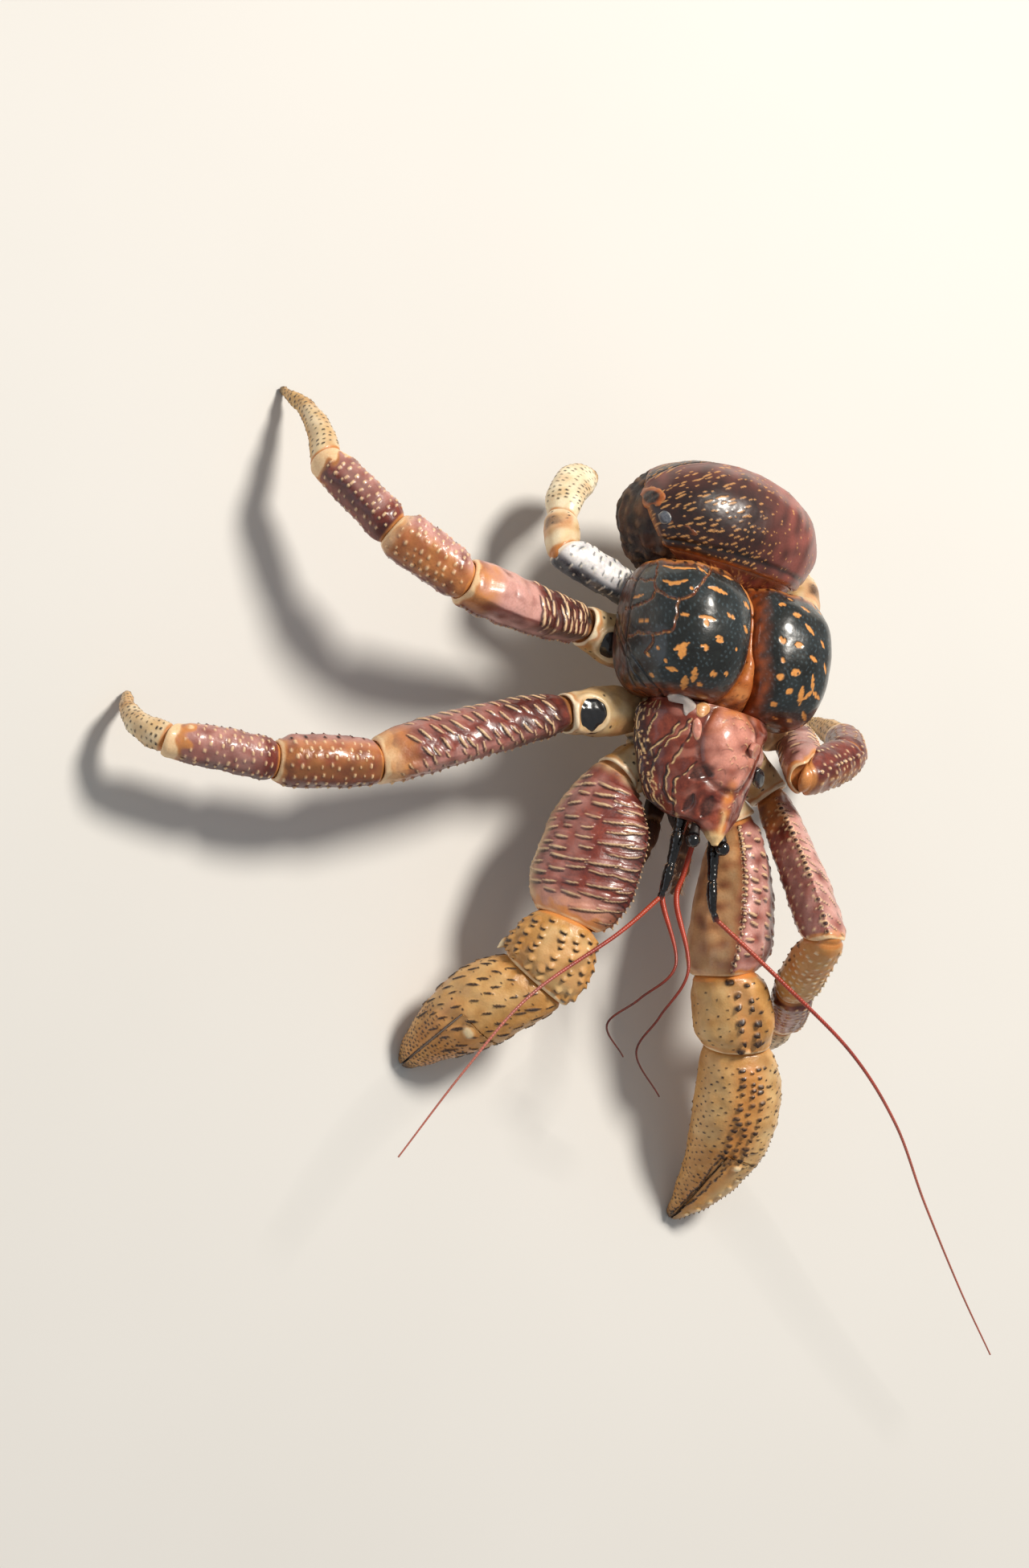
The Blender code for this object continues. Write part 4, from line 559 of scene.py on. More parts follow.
def unbody(points):
    """Places of the crab's frame in the body's own frame."""
    x, y, z = points[..., 0], points[..., 1], points[..., 2] - BODY_HEIGHT
    cosine, sine = math.cos(BODY_ROLL), math.sin(BODY_ROLL)
    return np.stack((x * cosine - z * sine, y, x * sine + z * cosine), axis=-1)


def camera_axes():
    """The picture's right, its up and the way back to the camera, and the camera's place in mm."""
    back = np.array((-math.sin(CAMERA_TURN) * math.cos(CAMERA_DROP), -math.sin(CAMERA_DROP),
                     math.cos(CAMERA_TURN) * math.cos(CAMERA_DROP)))
    level_up = unit(np.array((0.0, 1.0, 0.0)) - back * back[1])
    level_right = np.cross(level_up, back)
    up = math.cos(CAMERA_ROLL) * level_up - math.sin(CAMERA_ROLL) * level_right
    right = math.sin(CAMERA_ROLL) * level_up + math.cos(CAMERA_ROLL) * level_right
    place = (AIM + back * DISTANCE - right * (AIM_PX[0] - PICTURE[0] / 2.0) * MM_A_PX
             + up * (AIM_PX[1] - PICTURE[1] / 2.0) * MM_A_PX)
    return right, up, back, place


def in_picture(points):
    """Where places of the crab's frame fall in the picture, in its pixels."""
    right, up, back, place = camera_axes()
    ray = points - place
    depth = -(ray @ back)
    return np.stack((PICTURE[0] / 2.0 + FOCAL_PX * (ray @ right) / depth,
                     PICTURE[1] / 2.0 - FOCAL_PX * (ray @ up) / depth), axis=-1)


def rays_through(pixels):
    """Unit ways from the camera through picture pixels."""
    right, up, back, _ = camera_axes()
    return unit(right * (pixels[:, :1] - PICTURE[0] / 2.0) - up * (pixels[:, 1:] - PICTURE[1] / 2.0)
                - back * FOCAL_PX)


def under_pixels(points, normals, pixels):
    """Where rays through picture pixels meet a skin.

    The skin's point that faces the camera and falls nearest to the pixel gives a tangent plane, and the ray
    from the camera is met with that plane.
    """
    _, _, back, place = camera_axes()
    pixels = np.asarray(pixels, float)
    facing = (normals @ back) > FACING_LEAST
    seen, faces = points[facing], normals[facing]
    spread = in_picture(seen)[None, :, :] - pixels[:, None, :]
    nearest = np.argmin((spread ** 2).sum(axis=-1), axis=1)
    touched, face = seen[nearest], faces[nearest]
    ray = rays_through(pixels)
    run = ((touched - place) * face).sum(axis=-1) / np.minimum((ray * face).sum(axis=-1), -0.05)
    met = place + ray * run[:, None]
    off = np.linalg.norm(met - touched, axis=-1, keepdims=True)
    return np.where(off < OFF_MOST, met, touched)


def normals_of(points):
    """Outward normals of a grid of rings: the cross product of its two directions, turned to face out."""
    along = np.gradient(points, axis=0)
    around = (np.roll(points, -1, axis=1) - np.roll(points, 1, axis=1)) * 0.5
    normals = unit(np.cross(around, along))
    out = points - points.mean(axis=1, keepdims=True)
    return normals if (normals * out).sum() > 0.0 else -normals


def press(points, place, normal, soft):
    """Push what lies past a plane back to it: q becomes -k ln(1 + e^(-q / k)), which rounds the edge."""
    normal = unit(np.asarray(normal, float))
    depth = (points - np.asarray(place, float)) @ normal
    scaled = np.clip(-depth / soft, -60.0, 60.0)
    held = np.where(scaled > 30.0, depth, -soft * np.log1p(np.exp(scaled)))
    return points + normal * (held - depth)[..., None]


def nearness(points, segments, radii):
    """How near each point is to a set of segments: 1 on one, falling in a straight line to 0 at its radius.

    A radius may be given for each end of a segment, and it then changes evenly along it.
    """
    flat = points.reshape(-1, 3)
    near = np.zeros(len(flat))
    radii = np.asarray(radii, float)
    if radii.ndim < 2:
        radii = np.repeat(np.broadcast_to(radii, len(segments))[:, None], 2, axis=1)
    for (start, end), (first, last) in zip(segments, radii):
        span = end - start
        box = max(first, last) + 0.5 * np.abs(span)
        close = np.flatnonzero((np.abs(flat - (start + end) * 0.5) < box).all(axis=1))
        if len(close):
            local = flat[close] - start
            share = np.clip(local @ span / max(span @ span, 1e-9), 0.0, 1.0)
            gap = np.linalg.norm(local - share[:, None] * span, axis=1)
            near[close] = np.maximum(near[close], 1.0 - gap / (first + (last - first) * share))
    return near.reshape(points.shape[:-1])


def linked(line):
    """The segments of a polyline given as an array of points."""
    return np.stack((line[:-1], line[1:]), axis=1)


def chained(lines):
    """The segments of many polylines of one length, given one to a row."""
    return np.stack((lines[:, :-1], lines[:, 1:]), axis=2).reshape(-1, 2, 3)


def curve_through(route, count):
    """Evenly stepped points of a Catmull-Rom curve through a route."""
    route = np.array(route, float)
    ends = np.concatenate(([2.0 * route[0] - route[1]], route, [2.0 * route[-1] - route[-2]]))
    step = np.linspace(0.0, len(route) - 1.0, 40 * len(route))
    knot = np.clip(step.astype(int), 0, len(route) - 2)
    share = (step - knot)[:, None]
    a, b, c, d = (ends[knot + offset] for offset in range(4))
    line = 0.5 * (2.0 * b + (c - a) * share + (2.0 * a - 5.0 * b + 4.0 * c - d) * share ** 2
                  + (3.0 * b - a - 3.0 * c + d) * share ** 3)
    travel = np.concatenate(([0.0], np.cumsum(np.linalg.norm(np.diff(line, axis=0), axis=1))))
    even = np.linspace(0.0, travel[-1], count)
    return np.stack([np.interp(even, travel, column) for column in line.T], axis=-1), travel[-1]


def drawn(points, normals, lines):
    """Segments of smooth curves through picture pixels, found on the skin."""
    return np.concatenate([linked(under_pixels(points, normals, curve_through(line, 5 * len(line))[0]))
                           for line in lines])


def wobbled(points, size, length, seed):
    """Points moved a little by slow ripples along each axis, so that what is measured from them wavers."""
    return points + size * np.stack([ripple(points, length, seed + axis) for axis in range(3)], axis=-1)


def flecked(points, normals, flecks):
    """Nearness to leaf-shaped flecks given as picture pixels with a half width in pixels last."""
    segments = [linked(under_pixels(points, normals, curve_through(line, 4)[0])) for *line, _ in flecks]
    radii = [TAPER * width * MM_A_PX * 1.15 for *_, width in flecks]
    return nearness(points, np.concatenate(segments), np.concatenate(radii))


MATERIALS = {}
SKINS = {}


def piece(name, points, slot, node=None, **skin):
    """A closed mesh over a grid of rings: quads between rings and a fan to a pole at either end.

    The faces are turned outward by the sign of the mesh's volume, and each named array of the skin
    becomes an attribute of its points.
    """
    SKINS[name] = points
    rings, turns = points.shape[:2]
    poles = np.stack((points[0].mean(axis=0), points[-1].mean(axis=0)))
    places = (np.concatenate((points.reshape(-1, 3), poles)) + CENTRE) * MM
    index = np.arange(rings * turns).reshape(rings, turns)
    after = np.roll(index, -1, axis=1)
    quads = np.stack((index[:-1], after[:-1], after[1:], index[1:]), axis=-1).reshape(-1, 4)
    near = np.stack((after[0], index[0], np.full(turns, rings * turns)), axis=-1)
    far = np.stack((index[-1], after[-1], np.full(turns, rings * turns + 1)), axis=-1)
    fans = np.concatenate((near, far))
    triangles = np.concatenate((quads[:, (0, 1, 2)], quads[:, (0, 2, 3)], fans))
    corner = places[triangles]
    if (corner[:, 0] * np.cross(corner[:, 1], corner[:, 2])).sum() < 0.0:
        quads, fans = quads[:, ::-1], fans[:, ::-1]
    loops = np.concatenate((quads.ravel(), fans.ravel()))
    totals = np.concatenate((np.full(len(quads), 4), np.full(len(fans), 3)))
    mesh = bpy.data.meshes.new(name + "_skin")
    mesh.vertices.add(len(places))
    mesh.vertices.foreach_set("co", places.ravel())
    mesh.loops.add(len(loops))
    mesh.loops.foreach_set("vertex_index", loops)
    mesh.polygons.add(len(totals))
    mesh.polygons.foreach_set("loop_start", np.cumsum(totals) - totals)
    mesh.polygons.foreach_set("loop_total", totals)
    mesh.update(calc_edges=True)
    for key in ("pale", "dark", "warm", "bloom"):
        field = np.clip(np.broadcast_to(skin.get(key, 0.0), (rings, turns)), 0.0, 1.0)
        values = np.concatenate((field.ravel(), (field[0].mean(), field[-1].mean())))
        mesh.attributes.new(key, "FLOAT", "POINT").data.foreach_set("value", values)
    mesh.shade_smooth()
    mesh.materials.append(MATERIALS[skin.get("finish", slot)])
    thing = bpy.data.objects.new(name + "_skin", mesh)
    bpy.context.scene.collection.objects.link(thing)
    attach(thing, "root")
    if node:
        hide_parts(node)


def shell_finish(name, ground, deep, bloom, warm, pale, dark, roughness, coat, grain, relief):
    """Crab shell: waxed chitin over lime, two ground colours in cloudy patches, pigment and painted shade
    laid by the strokes.

    The eye gets a deep mottled ground under a clear gloss, chalkier ridges where the shell is worn, and a
    fine pitted grain in the highlights. Cloud and grain sizes are in mm.
    """
    material = bpy.data.materials.new(name)
    material.use_nodes = True
    tree = material.node_tree
    shader = tree.nodes["Principled BSDF"]
    place = add(tree, "ShaderNodeTexCoord", {}, {}).outputs["Object"]
    cloud = add(tree, "ShaderNodeTexNoise", {}, {"Vector": place, "Scale": 1.0 / (9.0 * MM), "Detail": 5.0,
                                                 "Roughness": 0.62, "Distortion": 0.6})
    fleck = add(tree, "ShaderNodeTexNoise", {}, {"Vector": place, "Scale": 1.0 / (1.1 * MM), "Detail": 3.0,
                                                 "Roughness": 0.6})
    patch = add(tree, "ShaderNodeMapRange", {}, {"Value": cloud.outputs["Fac"], "From Min": 0.38,
                                                 "From Max": 0.64})
    speck = add(tree, "ShaderNodeMapRange", {}, {"Value": fleck.outputs["Fac"], "From Min": 0.35,
                                                 "From Max": 0.75, "To Min": 0.0, "To Max": 0.55})
    colour = add(tree, "ShaderNodeMix", {"data_type": "RGBA"},
                 {0: patch.outputs[0], 6: hex_colour(deep), 7: hex_colour(ground)}).outputs[2]
    colour = add(tree, "ShaderNodeMix", {"data_type": "RGBA"},
                 {0: speck.outputs[0], 6: colour, 7: hex_colour(deep)}).outputs[2]
    uneven = add(tree, "ShaderNodeMapRange", {},
                 {"Value": fleck.outputs["Fac"], "To Min": 0.55, "To Max": 1.35})
    masks = {}
    for key, tint in (("bloom", bloom), ("warm", warm), ("dark", dark), ("pale", pale)):
        held = add(tree, "ShaderNodeAttribute", {"attribute_name": key}, {}).outputs["Fac"]
        mask = add(tree, "ShaderNodeMath", {"operation": "MULTIPLY", "use_clamp": True},
                   {0: held, 1: uneven.outputs[0]}).outputs[0]
        masks[key] = mask
        colour = add(tree, "ShaderNodeMix", {"data_type": "RGBA"},
                     {0: mask, 6: colour, 7: hex_colour(tint)}).outputs[2]
    tree.links.new(colour, shader.inputs["Base Color"])
    worn = add(tree, "ShaderNodeMapRange", {}, {"Value": masks["pale"], "To Min": roughness,
                                                "To Max": min(roughness + 0.14, 0.8)})
    rough = add(tree, "ShaderNodeMath", {"operation": "MULTIPLY_ADD"},
                {0: fleck.outputs["Fac"], 1: 0.12, 2: worn.outputs[0]})
    tree.links.new(rough.outputs[0], shader.inputs["Roughness"])
    pits = add(tree, "ShaderNodeTexVoronoi", {"feature": "SMOOTH_F1"}, {"Vector": place,
                                                                      "Scale": 1.0 / (grain * MM)})
    surface = add(tree, "ShaderNodeMath", {"operation": "ADD"},
                  {0: pits.outputs["Distance"], 1: fleck.outputs["Fac"]})
    bump = add(tree, "ShaderNodeBump", {}, {"Height": surface.outputs[0], "Strength": relief,
                                            "Distance": 0.3 * MM})
    tree.links.new(bump.outputs["Normal"], shader.inputs["Normal"])
    shader.inputs["Coat Weight"].default_value = coat
    shader.inputs["Coat Roughness"].default_value = 0.12
    shader.inputs["IOR"].default_value = 1.52
    shader.inputs["Subsurface Weight"].default_value = 0.06
    shader.inputs["Subsurface Radius"].default_value = (1.0 * MM, 0.4 * MM, 0.2 * MM)
    shader.inputs["Subsurface Scale"].default_value = 1.0
    return material


def make_finishes():
    """Every finish of the crab, named for the part of the real shell it is."""
    # Gill lobes: black shell specked with blue-green under a clear wax, orange pigment flecks
    MATERIALS["shell_dark"] = shell_finish("blue_black_gill_shell", "#12110d", "#1e2220", "#46545a",
                                           "#93481f", "#e59a4c", "#050504", 0.24, 0.35, 1.3, 0.12)
    # Head shield: wine shell going to rose where it domes, cream engraved lines
    MATERIALS["shell_wine"] = shell_finish("wine_head_shell", "#9c4a34", "#64281d", "#dd9683", "#d4813c",
                                           "#f3cd92", "#1f0d0a", 0.26, 0.30, 1.1, 0.15)
    # Abdomen plates: brown-black shell with short orange dashes, satin
    MATERIALS["belly_plate"] = shell_finish("brown_black_back_plate", "#45221a", "#27130f", "#a3564a",
                                            "#c0682c", "#d2985a", "#120908", 0.34, 0.30, 1.4, 0.10)
    # Middle wedge: orange-brown shell, satin, with small dark pits
    MATERIALS["wedge"] = shell_finish("orange_wedge_shell", "#cf7c36", "#a5541f", "#dd9a5c", "#b5622a",
                                      "#f0b870", "#3a160b", 0.30, 0.25, 1.0, 0.18)
    # Claws: tan lime-rich shell, matt between dark horny tubercles
    MATERIALS["shell_tan"] = shell_finish("tan_claw_shell", "#d9a560", "#b8803e", "#efcf96", "#d68a44",
                                          "#fae3b6", "#2b170c", 0.38, 0.18, 0.9, 0.25)
    MATERIALS["tan"] = MATERIALS["shell_tan"]
    # Leg shell: red-brown to rose with chalky cream ridges
    MATERIALS["limb_plum"] = shell_finish("plum_leg_shell", "#93412f", "#602621", "#d9a297", "#d28a4c",
                                          "#f1cfa0", "#1c0c0b", 0.30, 0.28, 1.0, 0.20)
    MATERIALS["plum"] = MATERIALS["limb_plum"]
    # Joints, toes and small hands: straw shell, thin and slightly translucent
    MATERIALS["limb_straw"] = shell_finish("straw_toe_shell", "#e0b878", "#c08d4e", "#f3e6c6", "#c87f3f",
                                           "#f7e8c6", "#20130b", 0.36, 0.20, 0.9, 0.20)
    MATERIALS["straw"] = MATERIALS["limb_straw"]
    # Fourth legs: pale blue-grey shell with dark undersides
    MATERIALS["pale"] = shell_finish("pale_blue_leg_shell", "#a3a6ae", "#6c727c", "#f0ecea", "#d0a572",
                                     "#f7ecd6", "#1b2430", 0.28, 0.30, 1.0, 0.15)
    # Soft skin of the belly and mouth limbs: leathery, granular, hardly any gloss
    MATERIALS["hide_dark"] = shell_finish("granular_dark_hide", "#3d2118", "#1c0f0a", "#7a4c36", "#9c5a2e",
                                          "#d8a878", "#090504", 0.50, 0.08, 1.6, 0.6)
    # Stems of the feelers: black horn, glossy like lacquer
    MATERIALS["black_horn"] = shell_finish("black_stem_horn", "#100f10", "#050505", "#2c2c30", "#7a2c1c",
                                           "#cdb48c", "#020202", 0.14, 0.6, 1.2, 0.05)
    # Eye: a wet black globe, mirror gloss
    MATERIALS["eye_black"] = shell_finish("wet_eye", "#08080a", "#050506", "#20242a", "#20140e",
                                          "#3a3a40", "#020202", 0.06, 0.8, 2.0, 0.02)
    # Feelers: red jointed threads, semi-gloss
    MATERIALS["feeler_red"] = shell_finish("red_feeler_thread", "#bf3826", "#8a2319", "#d3907c", "#cf5a34",
                                           "#dfa890", "#2a0c09", 0.35, 0.20, 0.8, 0.1)


class Length:
    """One length of a limb: superellipse rings on a chord with a parabola's bow, sheared to its joints."""

    def __init__(self, start, end, stations, share, up, bow, powers, mitres):
        self.start, self.end = np.array(start, float), np.array(end, float)
        columns = np.array(stations, float).T
        self.places, self.girths = columns[0], columns[1:] * share
        self.up, self.bow, self.powers = np.array(up, float), np.array(bow, float), powers
        self.mitres = mitres
        self.long = float(np.linalg.norm(self.end - self.start))

    def girth(self, along):
        """Half width, height above and depth below at places along."""
        return [eased(along, self.places, column) for column in self.girths]

    def axes(self, along):
        """Side, rise and forward directions of the rings at places along."""
        held = np.clip(along, 0.0, 1.0)[..., None]
        forward = unit(self.end - self.start + self.bow * (4.0 - 8.0 * held))
        side = unit(np.cross(forward, self.up))
        return side, np.cross(side, forward), forward

    def middle(self, along):
        """The middle line at places along."""
        held = np.clip(along, 0.0, 1.0)[..., None]
        over = np.asarray(along)[..., None] - held
        bow = self.bow * (4.0 * held * (1.0 - held)) - self.bow * 4.0 * np.abs(over)
        return self.start + (self.end - self.start) * np.asarray(along)[..., None] + bow

    def at(self, along, turn, swell=1.0):
        """Points of the skin at places along and turns in degrees, the rings swollen by a factor."""
        along, turn, swell = np.broadcast_arrays(np.asarray(along, float), np.radians(turn), swell)
        side, rise, forward = self.axes(along)
        wide, above, below = self.girth(along)
        x, z = round_turn(turn, self.powers)
        ring = (side * (wide * x * swell)[..., None]
                + rise * (np.where(z >= 0.0, above, below) * z * swell)[..., None])
        weights = (1.0 - smooth(along / 0.35), smooth((along - 0.65) / 0.35))
        limit = 0.75 * np.maximum(wide, above)
        for mitre, weight in zip(self.mitres, weights):
            if mitre is not None:
                slide = -(ring @ mitre) / np.maximum(np.abs(forward @ mitre), 0.3)
                ring = ring + forward * (limit * np.tanh(slide / limit) * weight)[..., None]
        return self.middle(along) + ring

    def lines(self, along, turn, half, tilt, sag):
        """Short polylines of four points on the skin: half length in mm, tilted out of the ring, sagging."""
        pace = np.linalg.norm(self.at(along, turn + 2.0) - self.at(along, turn - 2.0), axis=-1) / 4.0
        pace = np.maximum(pace, 0.08)[:, None]
        share = np.linspace(-1.0, 1.0, 4)[None, :]
        reach = half[:, None] * share
        places = along[:, None] + (reach * np.sin(tilt)[:, None] + sag * share ** 2) / self.long
        turns = turn[:, None] + reach * np.cos(tilt)[:, None] / pace
        line = self.at(places, turns)
        return chained(line)


def strokes_on(length, points, groups, seed):
    """Lift, lean, pale, dark and blush fields of a skin from its groups of strokes.

    With n the nearness to a stroke, a bar is the edge of a scale: the skin climbs on a ramp behind it to a
    thin crest n(2 - n) and drops at once before it. A pearl lifts as n(2 - n), and cones, tubercles, teeth
    and spines as a power of n a little over 1.
    """
    draw = np.random.default_rng(seed)
    shape = points.shape[:-1]
    lift, lean, pale, dark, blush, swells = (np.zeros(shape) for _ in range(6))
    for kind, (first_turn, last_turn, columns), (first, last, rows), half, radius, height, tilt in groups:
        turn, along = np.meshgrid(np.linspace(first_turn, last_turn, columns), np.linspace(first, last, rows))
        step = (last - first) / max(rows - 1, 1)
        stagger = (np.arange(columns) % 2) * 0.5 * step
        loose = 0.0 if columns == 1 else 1.0
        gap = (last_turn - first_turn) / max(columns - 1, 1)
        along = along + stagger[None, :] + draw.uniform(-0.22, 0.22, along.shape) * step * (0.4 + 0.6 * loose)
        turn = turn + draw.uniform(-0.2, 0.2, turn.shape) * gap * loose
        along, turn = along.ravel(), turn.ravel()
        sizes = draw.uniform(0.65, 1.25, len(along))
        tilts = np.radians(tilt + draw.uniform(-9.0, 9.0, len(along)) * loose)
        sag = -0.07 * half if kind == "bar" else 0.0
        segments = length.lines(along, turn, half * sizes, tilts, sag)
        taper = TAPER if half > 1.0 else np.ones((3, 2))
        radii = ((radius * sizes)[:, None, None] * taper).reshape(-1, 2)
        near = nearness(points, segments, radii)
        if kind in ("bar", "cone"):
            shift = length.axes(along)[2] * radius
            moved = np.repeat(shift, 3, axis=0)[:, None, :]
        if kind == "bar":
            ramp = smooth(nearness(points, segments - moved * 1.7, radii * 3.0) * 1.2)
            below = smooth(nearness(points, segments + moved * 1.4, radii * 1.4) * 1.6)
            ramp = ramp * (1.0 - below * (1.0 - near))
            lift = np.maximum(lift, height * (0.35 * near * (2.0 - near) + 0.60 * ramp))
            pale = np.maximum(pale, smooth(near * 1.9 - 0.45) * (0.55 + 0.45 * np.clip(radius, 0.0, 1.0)))
            # The dark band just before each bar's crest is partly the shell's own dark and partly painted
            # shadow cast by the raised edge.
            dark = np.maximum(dark, below * 0.85)
            blush = np.maximum(blush, 0.22 * ramp)
        elif kind == "cone":
            # The dark over each cone's far side, short of its tip, is partly the tubercle's own dark edge and
            # partly its painted shadow.
            below = nearness(points, segments + moved * 0.5, radii * 0.8)
            lift = np.maximum(lift, height * near ** 1.2)
            lean = np.maximum(lean, height * 0.8 * near ** 2)
            dark = np.maximum(dark, smooth(below * 2.2 - 0.3) * (1.0 - 0.75 * smooth(near * 3.0 - 1.9)))
        elif kind in ("tubercle", "dash"):
            lift = np.maximum(lift, height * near ** 1.4)
            lean = np.maximum(lean, height * 0.7 * near ** 2)
            dark = np.maximum(dark, smooth(near * 2.4 - 0.2))
        elif kind == "dot":
            lift = np.maximum(lift, height * near)
            dark = np.maximum(dark, smooth(near * 2.2 - 0.1))
        elif kind == "tooth":
            lift = np.maximum(lift, height * near ** 1.2)
            lean = np.maximum(lean, height * 0.5 * near ** 2)
            pale = np.maximum(pale, smooth(near * 2.6 - 0.9))
            dark = np.maximum(dark, smooth(near * 4.0) * smooth((0.4 - near) * 5.0))
        elif kind == "spine":
            lift = np.maximum(lift, height * near ** 1.2)
            lean = np.maximum(lean, height * 0.6 * near ** 2)
            pale = np.maximum(pale, smooth(near * 4.0) * smooth((0.5 - near) * 5.0))
            dark = np.maximum(dark, smooth(near * 3.2 - 1.3))
        elif kind == "stripe":
            lift = lift + height * smooth(near)
            dark = np.maximum(dark, smooth(near * 2.0) * 0.95)
        elif kind == "swell":
            swells = swells + height * smooth(near)
        else:
            lift = np.maximum(lift, height * near * (2.0 - near))
            pale = np.maximum(pale, smooth(near * 2.0 - 0.3) * 0.85)
    return lift + swells, lean, pale, dark * (1.0 - 0.9 * pale), blush


def wash_of(along, turns, wash):
    """A soft-edged patch over turns within a half width of one turn and places between two ends."""
    turn, half, first, last, amount = wash
    away = np.abs((turns - turn + 180.0) % 360.0 - 180.0)
    round_part = 1.0 if half >= 180.0 else smooth((half - away) / 26.0 + 0.5)
    return amount * round_part * smooth((along - first) / 0.10 + 0.5) * smooth((last - along) / 0.10 + 0.5)


def limb_rows(length, grain, tip):
    """Places along a length's skin and each ring's swell: a ball at the root, a lip or a point at the end."""
    long = length.long
    root = np.mean([column[0] for column in length.girth(np.array((0.0,)))])
    ball = np.linspace(0.12, 1.0, 8)[:-1] * math.pi / 2.0
    rows = [(-0.8 * root / long * math.cos(turn), 0.88 * math.sin(turn)) for turn in ball]
    collar = np.linspace(0.0, 1.0, 6)[:-1]
    rows += [(share * 2.2 / long, 0.88 + 0.12 * share ** 0.6) for share in collar]
    count = int(long / grain)
    if tip:
        blunt = 1.7 / long
        body_part = np.linspace(2.2 / long, 1.0 - blunt, count)
        rows += [(along, 1.0) for along in body_part]
        rows += [(1.0 - blunt + blunt * math.sin(turn), math.cos(turn))
                 for turn in np.linspace(0.15, 1.45, 7)]
    else:
        body_part = np.linspace(2.2 / long, 1.0 - 0.4 / long, count)
        rows += [(along, 1.0 + 0.045 * float(smooth((along - 1.0) * long / 5.0 + 1.0)))
                 for along in body_part]
        rows += [(1.0, 1.03), (1.0 + 0.35 / long, 0.99), (1.0 + 0.3 / long, 0.94), (1.0 - 0.5 / long, 0.90),
                 (1.0 - 1.8 / long, 0.86), (1.0 - 2.0 / long, 0.5)]
    return np.array(rows)


def limb_skin(length, grain, look, tip, seed):
    """The dressed skin of one length: its grid of points and its colour fields."""
    material, groups, warm_start, warm_end, pale_end, washes = look
    rows = limb_rows(length, grain, tip)
    wide, above, below = (float(column.max()) for column in length.girth(np.linspace(0.0, 1.0, 20)))
    turns = np.linspace(0.0, 360.0, int(math.pi * (wide + 0.5 * (above + below)) / grain), endpoint=False)
    along, swell = rows[:, 0][:, None], rows[:, 1][:, None]
    points = length.at(along, turns[None, :], swell)
    normals = normals_of(points)
    lift, lean, pale, dark, blush = strokes_on(length, points, groups, seed)
    ends = smooth(along * length.long / 3.0) * smooth((1.0 - along) * length.long / 2.0)
    lumps = 0.35 * ripple(points, 11.0, seed) + 0.07 * ripple(points, 4.2, seed + 1)
    lift = (lift + lumps) * ends
    forward = length.axes(along * np.ones_like(turns))[2]
    points = points + normals * lift[..., None] + forward * (lean * ends)[..., None]
    from_start, to_end = along * length.long, (1.0 - along) * length.long
    edge = 1.0 + 0.35 * ripple(points, 7.0, seed + 2)
    warm = smooth((warm_start - from_start) / 1.5 * edge) if warm_start else 0.0
    if warm_end:
        warm = np.maximum(warm, smooth((warm_end * edge - to_end) / 3.0))
    if pale_end:
        pale = np.maximum(pale, smooth((pale_end * edge - to_end) / 1.2) * 0.9)
    fields = {"pale": pale, "dark": dark, "warm": warm, "bloom": blush}
    cloud = 0.85 + 0.4 * ripple(points, 9.0, seed + 3)
    for key, *wash in washes:
        patch = wash_of(along, turns[None, :], wash) * cloud
        if key == "dark":
            patch = patch * (1.0 - pale)
        fields[key] = np.maximum(fields[key], patch)
    points[..., 2] = np.maximum(points[..., 2], 0.0)
    return points, {"finish": material, **fields}


def joint_planes(joints, facing):
    """The unit normal of each joint's plane: half way between the two lengths that meet there."""
    ways = [unit(after - before) for before, after in zip(joints, joints[1:])]
    planes = [facing] + [unit(near + far) for near, far in zip(ways, ways[1:])] + [None]
    return planes


def gape_frame(prefix, length):
    """The hinge of a claw's moving finger, the way to the tip, and the way out across the gape."""
    hinge = np.array(HINGE[prefix])
    side, _, _ = length.axes(hinge)
    place = length.middle(hinge) + side * HINGE_OFFSET
    way = unit(length.middle(np.array(1.0)) - place)
    across = -side
    return place, way, unit(across - way * (across @ way))


def build_claw_end(prefix, length, grain, look, seed):
    """Palm and moving finger from one dressed claw: each is the whole claw pressed flat against the gape."""
    place, way, normal = gape_frame(prefix, length)
    points, skin = limb_skin(length, grain, look, True, seed)
    run = (points - place) @ way
    depth = (points - place) @ normal
    beyond = smooth(run / 0.8)
    pressed = press(points, place - normal * GAPE * 0.5, normal, 0.35)
    palm = points + (pressed - points) * beyond[..., None]
    palm[..., 2] = np.maximum(palm[..., 2], 0.0)
    inner = smooth(1.0 - np.abs(depth) / 1.2) * beyond
    beyond = smooth(run / 7.0)
    # Faces in and beside the gape are painted dark: painted shade in the gap between palm and finger.
    palm_skin = dict(skin, dark=np.maximum(skin["dark"], np.where(depth > -0.2, 0.9, 0.5 * inner) * beyond))
    piece(prefix + "_palm", palm, "shell_tan", prefix + "_palm", **palm_skin)
    first = int(np.argmax(run.max(axis=1) > 1.0))
    finger = points[first:]
    finger = press(finger, place + normal * GAPE * 0.5, -normal, 0.35)
    finger = press(finger, place + way * 0.3, -way, 0.6)
    inner = smooth(1.0 - np.abs(depth[first:]) / 1.2)
    finger_skin = {key: value[first:] if np.ndim(value) > 1 else value for key, value in skin.items()}
    # Faces in and beside the gape are painted dark: painted shade in the gap between finger and palm.
    finger_skin["dark"] = np.maximum(finger_skin["dark"], np.where(depth[first:] < 0.2, 0.9, 0.5 * inner)
                                     * beyond[first:])
    piece(prefix + "_finger", finger, "shell_tan", prefix + "_finger", **finger_skin)


